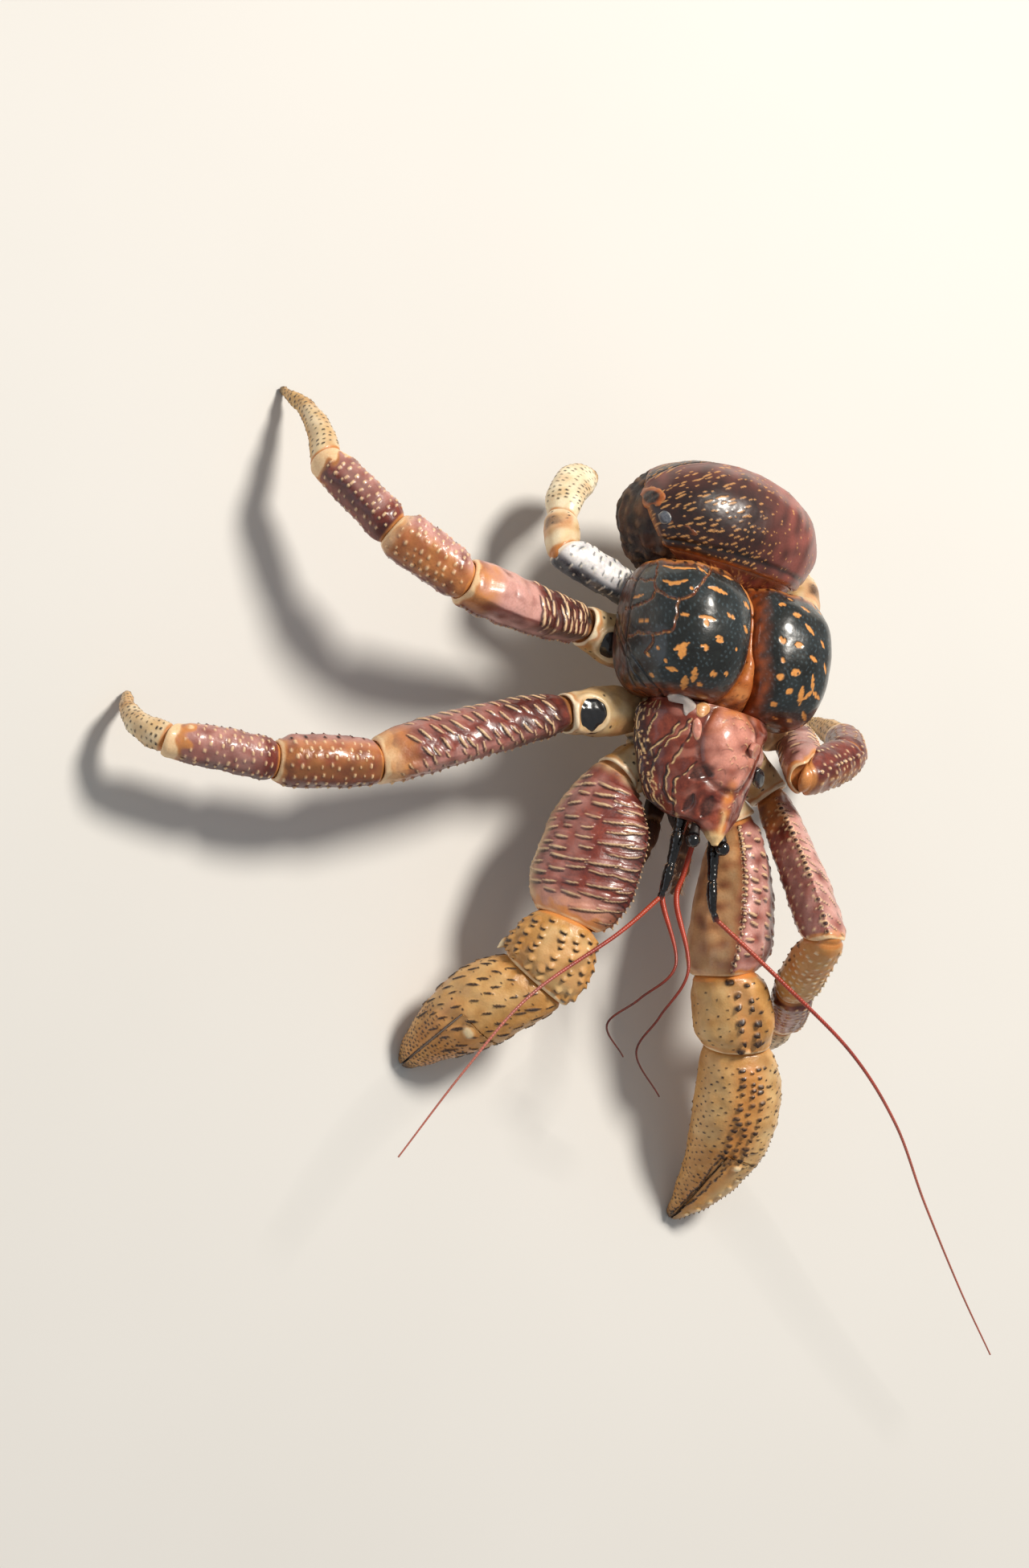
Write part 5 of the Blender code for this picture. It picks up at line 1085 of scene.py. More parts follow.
def build_limbs():
    """Every length of every limb."""
    for number, (prefix, table) in enumerate(LIMBS.items()):
        kind, side = prefix.split("_")
        place, facing = (np.array(item) for item in ROOTS[kind])
        mirror = mirror_of(side)
        root = body(place * mirror)
        facing = body(facing * mirror) - body(np.zeros(3))
        joints = [root] + [np.array(row[1]) for row in table]
        planes = joint_planes(joints, facing)
        for index, (part, end, stations, share, up, bow, powers) in enumerate(table):
            mitres = (planes[index], planes[index + 1] if index + 1 < len(table) else None)
            length = Length(joints[index], end, stations, share, up, bow, powers, mitres)
            name = prefix + "_" + part
            look = LOOKS.get(name) or LEG_LOOKS[part]
            seed = SEED + 10 * number + index
            if part == "chela":
                build_claw_end(prefix, length, GRAIN[prefix], look, seed)
                continue
            tip = part in ("dactyl", "hand")
            points, skin = limb_skin(length, GRAIN[prefix], look, tip, seed)
            slot = SLOTS.get(part, "shell_tan" if kind == "claw" and part == "carpus" else "limb_plum")
            if name in ("leg2_right_base", "leg3_right_base"):
                points, skin = cut_window(name, points, skin)
            piece(name, points, slot, name, **skin)


# The dark soft windows in the bases of two right legs: middle in picture pixels, radius in mm
WINDOWS = {"leg2_right_base": ((737.0, 889.0), 8.0), "leg3_right_base": ((763.0, 805.0), 7.0)}


def cut_window(name, points, skin):
    """Sink a shallow seat into a base where the picture shows a soft window, with a raised frame round it."""
    pixel, radius = WINDOWS[name]
    normals = normals_of(points)
    middle = under_pixels(points, normals, [pixel])[0]
    gap = np.linalg.norm(points - middle, axis=-1)
    frame = smooth(1.0 - np.abs(gap - radius - 1.2) / 2.2)
    points = points + normals * (0.9 * frame - 0.9 * smooth((radius - gap) / 2.5))[..., None]
    return points, dict(skin, dark=skin["dark"] * (1.0 - frame), pale=np.maximum(skin["pale"], 0.35 * frame))


def lobe_points(side, rows, columns):
    """A gill lobe in the body's frame, pressed flat against its neighbours.

    At a rise r and a turn t it lies at middle + reach * (C(r) c(t), C(r) s(t)) and height rise * S(r), with
    c, s and C, S the superellipse cosines and sines of its outline and of its dome.
    """
    rise = np.radians(np.linspace(-21.0, 89.6, rows))[:, None]
    turn = turns_of(columns)
    share, height = round_turn(rise, (LOBE_DOME, LOBE_DOME))
    share = share * (1.0 - 0.06 * np.clip(-height / -LOBE_LEAST, 0.0, 1.0) ** 2)
    x, y = round_turn(turn, (LOBE_OUTLINE, LOBE_OUTLINE))
    points = places_of(LOBE_CENTRE[0] + LOBE_REACH[0] * share * x, LOBE_CENTRE[1] + LOBE_REACH[1] * share * y,
                       LOBE_RISE * height)
    for near, far in zip(WEDGE, WEDGE[1:]):
        points = press(points, (near[1] - 0.3, near[0], 0.0), (near[0] - far[0], far[1] - near[1], 0.0), 0.9)
    points = press(points, (0.0, -0.4, 0.0), (0.0, -1.0, 0.0), 1.6)
    points = press(points, (0.0, 62.6, 0.0), (0.0, 1.0, 0.0), 1.4)
    return points * mirror_of(side)


def build_lobes():
    """Both gill lobes, with their flecks, their plates' sutures, their rims and their rusty margins."""
    for side, grid in LOBE_GRIDS.items():
        local = lobe_points(side, *grid)
        points = body(local)
        normals = normals_of(points)
        if side == "right":
            wavering = wobbled(points, 0.5, 6.0, SEED)
            lines = nearness(wavering, drawn(points, normals, RIGHT_SUTURES), 0.8)
            rims = nearness(wavering, drawn(points, normals, RIGHT_RIMS), 0.9)
            flecks = flecked(points, normals, RIGHT_FLECKS)
        else:
            lines = nearness(points, drawn(points, normals, LEFT_SUTURES), 0.8)
            rims = np.zeros(points.shape[:-1])
            flecks = np.maximum(flecked(points, normals, LEFT_FLECKS), far_flecks(points))
        rims = np.maximum(rims, nearness(points, edge_lines(side, (-1.0, -6.0)), 1.0))
        jagged = 1.0 + 0.6 * ripple(points, 2.2, SEED)
        pale = smooth(flecks * 2.6 * jagged - 0.3)
        groove = smooth(lines * 1.6)
        shoulders = smooth(lines * 3.0) * (1.0 - smooth((lines - 0.45) * 5.0))
        rim = smooth(rims * 1.7)
        lift = 0.30 * ripple(points, 13.0, SEED + 1) + 0.025 * ripple(points, 3.5, SEED + 2)
        lift = lift - 0.75 * groove + 0.18 * shoulders - 0.55 * rim - 0.16 * pale
        x, y, z = abs(local[..., 0]), local[..., 1], local[..., 2]
        inner = smooth(1.0 - (x - np.interp(y, (0.0, 30.0, 45.0, 64.0), (11.0, 2.0, 2.0, 4.5))) / 6.5)
        rear = smooth(1.0 - (CARAPACE_REAR - y) / (4.6 + 1.4 * ripple(points, 9.0, SEED + 3)))
        rear = rear * smooth(x / 10.0 + 0.2)
        front = smooth(1.0 - y / 4.0)
        low = smooth((4.0 - z) / 9.0)
        lift = lift + 0.7 * smooth(1.0 - (CARAPACE_REAR - y) / 3.0)
        jag = 1.0 + 0.45 * ripple(points, 5.0, SEED + 4)
        warm = np.clip(0.75 * inner + 0.8 * rear + 0.6 * front + 0.3 * low, 0.0, 1.0) * jag
        warm = np.maximum(warm, 0.7 * shoulders)
        pale = np.maximum(pale, 0.75 * smooth(lines * 2.2 - 1.1))
        blotches = smooth(ripple(points, 4.4, SEED + 15) * 2.2 - 0.2)
        pale = np.maximum(pale, 0.55 * smooth(rear * 1.6 - 0.7) * (1.0 - blotches))
        # The middles of the suture grooves are painted dark as shade in the grooves; the rim lines are drawn
        # dark as well.
        dark = np.maximum(0.9 * smooth(rim * 1.4 - 0.3), 0.5 * smooth(lines * 3.0 - 1.9))
        dark = np.maximum(dark, 0.9 * blotches * smooth(rear * 1.5 - 0.3))
        specks = smooth(ripple(points, 2.2, SEED + 16) * 3.0 - 1.6)
        bloom = 0.15 * smooth(0.5 + ripple(points, 16.0, SEED + 5)) + 0.6 * specks
        points = points + normals * lift[..., None]
        piece("branchial_lobe_" + side, points, "shell_dark", "branchial_lobe_" + side,
              pale=pale * (1.0 - rim), dark=dark * (1.0 - pale), warm=warm, bloom=bloom)


def edge_lines(side, heights):
    """Grooves that follow a lobe's lower edge at set heights, on its outer side, as segments."""
    segments = []
    for height in heights:
        turn = np.radians(np.linspace(-88.0, 88.0, 50))
        x, y = round_turn(turn, (LOBE_OUTLINE, LOBE_OUTLINE))
        line = places_of(LOBE_CENTRE[0] + LOBE_REACH[0] * x,
                         np.clip(LOBE_CENTRE[1] + LOBE_REACH[1] * y, 0.0, CARAPACE_REAR), height)
        segments.append(linked(body(line * mirror_of(side))))
    return np.concatenate(segments)


def far_flecks(points):
    """Flecks for the left lobe's outer side, which the picture doesn't show, scattered like the others."""
    draw = np.random.default_rng(SEED + 40)
    count = 34
    turn = draw.uniform(-70.0, 80.0, count)
    rise = draw.uniform(4.0, 44.0, count)
    share, height = round_turn(np.radians(rise), (LOBE_DOME, LOBE_DOME))
    x, y = round_turn(np.radians(turn), (LOBE_OUTLINE, LOBE_OUTLINE))
    middle = np.stack((LOBE_CENTRE[0] + LOBE_REACH[0] * share * x, LOBE_CENTRE[1] + LOBE_REACH[1] * share * y,
                       LOBE_RISE * height), axis=-1)
    half = np.stack((np.zeros(count), draw.uniform(0.4, 2.2, count), draw.uniform(-1.2, 1.2, count)), axis=-1)
    segments = np.stack((body(middle - half), body(middle + half)), axis=1)
    hidden = (segments.mean(axis=1) - body(np.array((29.0, 33.0, 0.0)))) @ camera_axes()[2] < 8.0
    return nearness(points, segments[hidden], draw.uniform(1.3, 2.0, hidden.sum()))


def build_wedge():
    """The orange wedge between the lobes: a low arch whose half width and top follow the stations."""
    along = np.linspace(-0.2, CARAPACE_REAR + 0.4, WEDGE_GRID[0])[:, None]
    half = np.interp(along, *zip(*WEDGE)) + 0.35
    top = eased(along, *zip(*WEDGE_CREST))
    x, z = round_turn(turns_of(WEDGE_GRID[1]), (2.4, 5.0))
    middle = 0.5 * (top + SKIRT)
    local = places_of(half * x, along, middle + (top - middle) * z)
    points = body(local)
    normals = normals_of(points)
    pits = smooth(ripple(points, 2.6, SEED + 7) * 3.0 - 2.0)
    # Dark toward the front, where the wedge dips down to the shield: painted shade.
    dark = 0.85 * smooth((7.0 - along) / 7.0 + 0.3 * ripple(points, 4.0, SEED + 10))
    inset = np.abs(local[..., 0]) - half
    edge = smooth((inset + 1.1) / 0.9)
    notch = smooth(1.0 - np.abs(along - 45.0) / 1.2)
    dark = np.maximum(dark, np.maximum(0.8 * notch, 0.55 * pits))
    lift = 0.2 * ripple(points, 8.0, SEED + 8) - 0.25 * pits - 0.5 * notch
    warm = 0.3 + 0.35 * ripple(points, 6.0, SEED + 9) + 0.6 * smooth((inset + 3.5) / 3.0)
    piece("cardiac_wedge", points + normals * lift[..., None], "shell_tan", "cardiac_wedge", finish="wedge",
          dark=np.maximum(dark, 0.85 * edge), warm=warm, pale=0.30 * smooth((along - 46.0) / 4.0),
          bloom=0.6 * smooth(ripple(points, 9.0, SEED + 6)))


def build_shield():
    """The head's shield: superellipse rings along the stations, a domed stomach region, grooves and lines.

    A ring at a turn t lies at half width * c(t) and at its middle level plus its height above or its depth
    below it times s(t). The dome lifts as (1 - r^2)^0.85 over the ellipse r = 1 round its middle.
    """
    along = np.linspace(-0.3, -64.6, SHIELD_GRID[0])[:, None]
    half, top, bottom, middle = shield_shape(along)
    x, z = round_turn(turns_of(SHIELD_GRID[1]), SHIELD_POWERS)
    height = middle + np.where(z >= 0.0, top - middle, middle - bottom) * z
    half = half * (1.0 - 0.12 * smooth(z * 1.6) * smooth((-along - 4.0) / 10.0)) + flare(along, height)
    local = press(places_of(half * x, along, height), (0.0, 0.0, SKIRT), (0.0, 0.0, -1.0), 0.6)
    points = body(local)
    normals = normals_of(points)
    x, y, z = local[..., 0], local[..., 1], local[..., 2]
    reach = np.sqrt(((x - DOME_MIDDLE[0]) / DOME_REACH[0]) ** 2 + ((y - DOME_MIDDLE[1]) / DOME_REACH[1]) ** 2)
    upper = smooth((z - 4.0) / 8.0)
    moat = smooth(1.0 - np.abs(reach - 1.04) * 7.0) * upper
    ridge = smooth(1.0 - np.abs(x) / 8.0) * smooth((-30.0 - y) / 8.0) * upper
    lines, shade = mirrored_lines(points, normals)
    arcs, under = crescents(points)
    cheeks, wrinkle_shadows = side_wrinkles(points)
    hollows = smooth(flecked(points, normals, SHIELD_HOLLOWS) * 1.7)
    limit = np.interp(y, (-50.0, -45.0, -38.0, -29.0, -20.0, -5.0), (-3.0, -5.0, -3.0, 1.0, -1.0, -3.0))
    # The low side walls of the shield are painted dark: painted shade on the walls.
    wall_shade = smooth((limit + 1.5 - z) / 3.0) * smooth((y + 54.0) / 6.0)
    keel = smooth(1.0 - np.abs(x + 1.0) / (1.5 + 0.05 * (y + 65.0)))
    round_top = np.clip(1.0 - reach ** 2, 0.0, 1.0) ** 0.85 * upper
    lift = DOME_RISE * round_top - 0.5 * moat + 1.1 * ridge - 0.55 * smooth(shade * 1.8)
    lift = lift + 0.08 * smooth(lines * 2.0)
    lift = lift + 0.16 * arcs + 0.18 * cheeks - 0.9 * hollows
    lift = lift + 0.35 * ripple(points, 12.0, SEED + 11) + 0.04 * ripple(points, 3.4, SEED + 12)
    lift = lift + 0.6 * keel * smooth((-46.0 - y) / 8.0)
    ends = smooth((-y - 0.2) / 2.0) * smooth((y + 64.0) / 4.0)
    broken = 0.75 + 0.45 * ripple(points, 4.5, SEED + 56)
    pale = np.maximum(0.95 * smooth(lines * 3.0 * broken - 0.3), 0.60 * smooth(arcs * 2.2 * broken - 0.4))
    pale = np.maximum(pale, 0.75 * smooth(cheeks * 2.0 - 0.5))
    pale = np.maximum(pale, smooth((-57.0 - y) / 4.0))
    pale = np.maximum(pale, 0.55 * keel * smooth((-46.0 - y) / 6.0))
    streak = smooth(1.0 - np.abs(x + 0.5) / 4.6) * smooth((-30.0 - y) / 10.0)
    rear = smooth((y + 9.0) / 6.0) * smooth(1.0 - np.abs(x) / 22.0)
    blaze = smooth(1.0 - np.abs(reach - 0.72) * 2.6) * smooth((y + 20.0) / 12.0) * smooth((4.0 - x) / 10.0)
    warm = np.clip(0.9 * streak + 0.5 * rear + 0.45 * blaze, 0.0, 1.0)
    warm = warm * (0.8 + 0.5 * ripple(points, 6.0, SEED + 19))
    bloom = 0.95 * smooth((1.04 - reach) * 2.6) * (0.8 + 0.4 * ripple(points, 10.0, SEED + 13))
    bloom = bloom * (1.0 - 0.4 * blaze)
    bloom = bloom + 0.35 * smooth(0.2 + ripple(points, 9.0, SEED + 14)) * upper
    flank = smooth(1.0 - np.abs(np.abs(x) - 13.0) / 8.0) * smooth((-24.0 - y) / 8.0) * upper
    # Of these, the low walls, the grooves beside the lines, the crescents' front sides and the shadows under
    # the wrinkles are painted shade.
    dark = np.maximum.reduce((0.85 * wall_shade, 0.55 * moat, 0.9 * smooth(shade * 2.0 - 0.3), 0.8 * hollows,
                              0.45 * smooth(under * 2.0 - 0.4), 0.6 * wrinkle_shadows,
                              0.5 * flank * smooth(0.5 + ripple(points, 5.0, SEED + 6))))
    piece("cephalic_shield", points + normals * (lift * ends)[..., None], "shell_wine", "cephalic_shield",
          pale=pale, dark=dark * (1.0 - pale), warm=warm, bloom=bloom)


def shield_shape(along):
    """The shield's half width, top, bottom and widest level at places along it."""
    table = np.array(sorted(SHIELD)).T
    return [eased(along, table[0], column) for column in table[1:]]


def flare(along, height):
    """How far the shield's wall stands out over the roots of the limbs, in mm, growing downward."""
    return FLARE * smooth((1.0 - height) / 9.0) * smooth((along + 54.0) / 12.0) * smooth((-along) / 4.0)


def mirrored_lines(points, normals):
    """Nearness to the shield's cream lines and to the grooves outside them, which are painted dark as shade,
    with their mirror images.
    """
    found = []
    # The second pass draws the lines moved aside and wider: the grooves beside them, painted dark as their
    # shade.
    for shift, radius in (((0.0, 0.0), 0.62), ((-3.2, 1.2), 1.05)):
        moved = [np.array(line, float) + shift for line in SHIELD_LINES]
        segments = drawn(points, normals, moved)
        other = body(unbody(segments) * np.array((-1.0, 1.0, 1.0)))
        segments = np.concatenate((segments, other))
        found.append(nearness(wobbled(points, 0.55, 5.0, SEED + 50), segments, radius))
    return found


def on_shield(x, y):
    """A place on the top of the shield above a point of its plan, in the crab's frame."""
    half, top, _, middle = shield_shape(y)
    share = np.clip(1.0 - np.abs(x / half) ** SHIELD_POWERS[0], 0.0, 1.0) ** (1.0 / SHIELD_POWERS[0])
    return body(np.stack((x, y, middle + (top - middle) * share), axis=-1))


def crescents(points):
    """Small raised arcs strewn over the shield's dome, open to the front and longer to the rear.

    Returned with the nearness to their shaded front sides. Each is a parabola that bends forward at its ends.
    """
    draw = np.random.default_rng(SEED + 15)
    x, y = np.meshgrid(np.arange(-16.0, 14.1, 4.8), np.arange(-49.0, -3.0, 3.6))
    x = x + (np.arange(len(y)) % 2)[:, None] * 2.4 + draw.uniform(-1.7, 1.7, x.shape)
    y = y + draw.uniform(-1.5, 1.5, y.shape)
    kept = np.sqrt(((x + 1.0) / 15.0) ** 2 + ((y + 24.0) / 26.0) ** 2) < 1.0
    kept = kept & (draw.uniform(0.0, 1.0, x.shape) < 0.52)
    x, y = x[kept], y[kept]
    half = draw.uniform(0.7, 2.4, len(x)) * (1.1 + (y + 30.0) / 70.0)
    lean = draw.uniform(-0.35, 0.35, len(x))[:, None]
    bend = draw.uniform(0.5, 1.5, len(x))[:, None]
    share = np.linspace(-1.0, 1.0, 5)[None, :]
    found = []
    # The second pass, moved forward and wider, is the painted shade on each crescent's front side.
    for back, radius in ((0.0, 0.42), (-0.55, 0.7)):
        line = on_shield(x[:, None] + half[:, None] * share,
                         y[:, None] + back - bend * share ** 2 + lean * share)
        found.append(nearness(wobbled(points, 0.4, 4.0, SEED + 53), chained(line), radius))
    return found


def side_wrinkles(points):
    """Short wrinkles along both side walls of the shield, and the nearness to the painted shadows under them.
    """
    draw = np.random.default_rng(SEED + 16)
    y, rise = np.meshgrid(np.arange(-46.0, -2.0, 3.6), np.arange(-11.0, 4.0, 1.9))
    y = y + draw.uniform(-1.5, 1.5, y.shape)
    rise = rise + draw.uniform(-0.8, 0.8, rise.shape)
    y, rise = np.concatenate((y.ravel(), y.ravel())), np.concatenate((rise.ravel(), rise.ravel()))
    sign = np.repeat((-1.0, 1.0), len(y) // 2)
    share = np.linspace(-1.0, 1.0, 4)[None, :]
    along = y[:, None] + draw.uniform(0.7, 1.9, len(y))[:, None] * share
    slope = draw.uniform(-0.15, 0.35, len(y))[:, None] * share
    half, top, bottom, middle = shield_shape(along)
    found = []
    # The second pass, moved down and wider, is the painted shadow under each wrinkle.
    for down, radius in ((0.0, 0.40), (-0.7, 0.7)):
        up = rise[:, None] + down + slope
        level = np.where(up >= middle, (up - middle) / (top - middle), (middle - up) / (middle - bottom))
        power = np.where(up >= middle, SHIELD_POWERS[0], SHIELD_POWERS[1])
        wide = half * np.clip(1.0 - np.abs(level) ** power, 0.0, 1.0) ** (1.0 / power) + flare(along, up)
        line = body(np.stack((sign[:, None] * wide, along, up), axis=-1))
        found.append(nearness(points, chained(line), radius))
    return found


def build_sternum():
    """The underside: superellipse rings along the stations, grooved between its segments."""
    table = np.array(STERNUM)
    along = np.linspace(-45.8, 61.6, STERNUM_GRID[0])[:, None]
    half, bottom = (eased(along, table[:, 0], table[:, index]) for index in (1, 2))
    x, z = round_turn(turns_of(STERNUM_GRID[1]), (3.0, 2.2))
    level = SKIRT - 6.0
    local = places_of(half * x, along, level + np.where(z >= 0.0, 6.4, level - bottom) * z)
    for place, facing in ROOTS.values():
        for sign in (-1.0, 1.0):
            mirror = np.array((sign, 1.0, 1.0))
            local = press(local, np.array(place) * mirror, np.array(facing) * mirror, 0.8)
    points = body(local)
    normals = normals_of(points)
    bowed = local[..., 1] + 0.004 * local[..., 0] ** 2
    seams = np.min([np.abs(bowed - place) for place in (-32, -14, 10, 36)], axis=0)
    seam = smooth(1.0 - seams / 1.6)
    middle = smooth(1.0 - np.abs(local[..., 0]) / 1.2)
    lift = -1.2 * seam - 0.8 * middle + 0.3 * ripple(points, 9.0, SEED + 17)
    dark = 0.7 * seam + 0.45 * smooth(0.3 + ripple(points, 14.0, SEED + 18))
    piece("sternum", points + normals * lift[..., None], "limb_straw", "sternum", dark=dark,
          warm=0.4 * middle, bloom=0.3)


def belly_reach(origin, way, grow):
    """How far a ray from inside the abdomen runs to its skin, by halving the span between in and out."""
    wide, long, above, below = BELLY_REACH
    near, far = np.zeros(way.shape[:-1]), np.full(way.shape[:-1], 90.0)
    for _ in range(22):
        middle = 0.5 * (near + far)
        place = origin + way * middle[..., None]
        cosine = (BELLY_CENTRE[0] - place[..., 1]) / (long + grow)
        share = np.clip(1.0 - cosine ** 2, 1e-6, 1.0) ** (0.5 * BELLY_BLUNTNESS)
        rise = place[..., 2] - BELLY_CENTRE[1]
        tall = np.where(rise >= 0.0, above, below) + grow
        power = np.where(rise >= 0.0, *BELLY_POWERS)
        outside = (np.abs(place[..., 0]) / (share * (wide + grow))) ** power
        outside = outside + (np.abs(rise) / (share * tall)) ** power
        inside = (outside < 1.0) & (np.abs(cosine) < 1.0)
        near, far = np.where(inside, middle, near), np.where(inside, far, middle)
    return near


def belly_point(fan, turn, grow):
    """A place on the abdomen's back: a ray in the half plane that the fan angle turns about the hinge line.

    The fan angle runs from the front over the top, and the turn from the left edge of the plate to its
    right edge about the point where that half plane crosses the lid of the soft belly.
    """
    fan, turn = np.broadcast_arrays(np.radians(fan), np.radians(turn))
    rise = np.stack((np.zeros_like(fan), -np.cos(fan), np.sin(fan)), axis=-1)
    drop = ((BELLY_LID[0] - BELLY_HINGE[0]) * math.sin(BELLY_SLOPE)
            + (BELLY_LID[1] - BELLY_HINGE[1]) * math.cos(BELLY_SLOPE))
    lid = np.minimum(drop / np.maximum(np.sin(fan - BELLY_SLOPE), 0.05), 34.0)
    hinge = np.array((0.0, *BELLY_HINGE))
    origin = hinge + rise * lid[..., None]
    way = np.stack((np.cos(turn), np.zeros_like(turn), np.zeros_like(turn)), axis=-1)
    way = way + rise * np.sin(turn)[..., None]
    return origin + way * belly_reach(origin, way, grow)[..., None]


# The abdomen's plates: fan angle of each end, how far each stands out, rings across and steps along
TERGITES = ((52.0, 81.0, -0.2, 150, 26), (80.0, 141.0, 1.4, 360, 132), (139.0, 159.0, 0.6, 260, 50),
            (157.0, 186.0, -0.4, 170, 44))


def build_back():
    """The plates of the abdomen, each a thin shell: its outline in the fan is carried from side to side."""
    for number, (first, last, grow, rings, steps) in enumerate(TERGITES, 1):
        outer = np.linspace(first, last, steps)
        inner = np.linspace(last, first, 12)
        fan = np.concatenate((outer, inner))
        edge = np.minimum(outer - first, last - outer) / (last - first)
        roll = -0.9 * (1.0 - np.clip(edge * 22.0, 0.0, 1.0)) ** 2 + 0.35 * smooth(1.0 - edge * 14.0)
        depth = np.concatenate((roll, np.full(12, -2.6)))
        turn = np.linspace(9.0, 171.0, rings)[:, None]
        local = belly_point(fan[None, :], turn, grow)
        points = body(local)
        normals = unit(points - body(np.array((0.0, 84.0, -14.0))))
        skin_depth = np.broadcast_to(depth[None, :], points.shape[:-1]).copy()
        near = dashes_on_back(points, first, last, grow, number)
        share = np.clip((fan[None, :] - first) / (last - first), 0.0, 1.0) * np.ones_like(turn)
        lumps = 0.35 * ripple(points, 15.0, SEED + 20) + 0.02 * ripple(points, 3.0, SEED + 21)
        crease = smooth(1.0 - np.abs(share - (0.10 if number == 2 else 0.22)) * 26.0)
        skin_depth = skin_depth + lumps + 0.12 * smooth(near * 2.0) - 0.5 * crease * (number > 1)
        pale = 0.85 * smooth(near * 2.4 * (1.0 + 0.5 * ripple(points, 2.2, SEED + 25)) - 0.4)
        side_rim = smooth(1.0 - np.minimum(turn - 9.0, 171.0 - turn) / 5.0)
        skin_depth = skin_depth - 1.6 * side_rim ** 2
        front_rim = smooth(1.0 - share * (26.0 if number == 2 else 10.0))
        rear_rim = np.maximum(smooth(1.0 - (1.0 - share) * (24.0 if number == 2 else 9.0)), 0.8 * side_rim)
        warm = np.clip(1.1 * front_rim + 1.1 * rear_rim, 0.0, 1.0)
        warm = warm * (0.85 + 0.4 * ripple(points, 4.0, SEED + 22))
        x = local[..., 0]
        # Ruddier toward the crab's left, the side the light falls on, and toward the rear: partly the plate's
        # own red, partly painted light.
        ruddy_and_lit = smooth((x + 14.0) / 40.0) * 0.75 + smooth((share - 0.55) / 0.4) * 0.6
        bloom = np.clip(ruddy_and_lit, 0.0, 1.0) * (0.8 + 0.4 * ripple(points, 8.0, SEED + 23))
        # Darker toward the crab's right, the side turned from the light: painted shade; the creases are drawn
        # dark too.
        dark = 0.8 * crease * (number > 1) + 0.35 * smooth((-x - 12.0) / 26.0)
        points = points + normals * skin_depth[..., None]
        name = "tergite_%d" % number
        pale = np.maximum(pale, 0.25 * rear_rim)
        piece(name, points, "shell_wine", name, finish="belly_plate", pale=pale, dark=dark, warm=warm,
              bloom=bloom)


def dashes_on_back(points, first, last, grow, number):
    """Nearness to the short slanting dashes of a back plate, in staggered rows from side to side."""
    draw = np.random.default_rng(SEED + 24 + number)
    rows = max(int((last - first) / 3.7), 2)
    fan, turn = np.meshgrid(np.linspace(first + 3.0, last - 3.0, rows), np.linspace(12.0, 168.0, 36))
    turn = turn + (np.arange(rows) % 2)[None, :] * 2.2 + draw.uniform(-2.0, 2.0, turn.shape)
    fan = fan + draw.uniform(-1.6, 1.6, fan.shape)
    crowd = 0.45 + 0.40 * smooth((turn - 50.0) / 60.0) * smooth((last + 8.0 - fan) / (last - first))
    kept = draw.uniform(0.0, 1.0, fan.shape) < crowd
    fan, turn = fan[kept], turn[kept]
    size = draw.uniform(0.30, 1.0, len(fan)) ** 1.3 * 1.25
    long = 0.10 + 0.90 * smooth((turn - 62.0) / 50.0)
    share = np.linspace(-1.0, 1.0, 4)[None, :]
    line = body(belly_point(fan[:, None] - 0.7 * (size * long)[:, None] * share,
                            turn[:, None] + 2.2 * (size * long)[:, None] * share, grow))
    return nearness(points, chained(line), ((0.38 + 0.3 * size)[:, None, None] * TAPER).reshape(-1, 2))


def build_belly():
    """The soft belly: the abdomen's round body drawn in a little, wrinkled, granular, flat under the tail."""
    wide, long, above, below = (reach - 2.4 for reach in BELLY_REACH)
    bend = np.linspace(0.05, 0.95, BELLY_GRID[0])[:, None] * math.pi
    share = np.sin(bend) ** BELLY_BLUNTNESS
    x, z = round_turn(turns_of(BELLY_GRID[1]), BELLY_POWERS)
    local = places_of(share * wide * x, BELLY_CENTRE[0] - long * np.cos(bend),
                      BELLY_CENTRE[1] + share * np.where(z >= 0.0, above, below) * z)
    local = press(local, (0.0, 62.5, 0.0), (0.0, -1.0, 0.0), 0.8)
    local = press(local, (0.0, 0.0, TAIL_FLAT), (0.0, 0.0, -1.0), 1.0)
    points = body(local)
    normals = normals_of(points)
    soft = smooth((BELLY_LID[1] + 2.0 - local[..., 2] - 0.45 * (local[..., 1] - 83.0)) / 4.0)
    soft = np.maximum(soft, smooth((np.abs(local[..., 0]) - 30.0) / 6.0))
    grains = np.clip(ripple(points, 4.6, SEED + 30) + 0.3, 0.0, 1.3)
    grains = grains + 0.3 * np.clip(ripple(points, 2.0, SEED + 33), 0.0, 1.0)
    folds = ripple(points * np.array((1.0, 1.0, 3.0)), 14.0, SEED + 31)
    lift = soft * (0.55 * grains + 0.9 * folds + 1.6)
    pale = 0.16 * soft * smooth(grains * 1.6 - 1.0)
    warm = 0.20 * soft * smooth(0.2 + ripple(points, 12.0, SEED + 32))
    piece("abdomen", points + normals * lift[..., None], "hide_dark", "abdomen", pale=pale, warm=warm,
          dark=0.6 * soft * smooth(0.7 - grains))


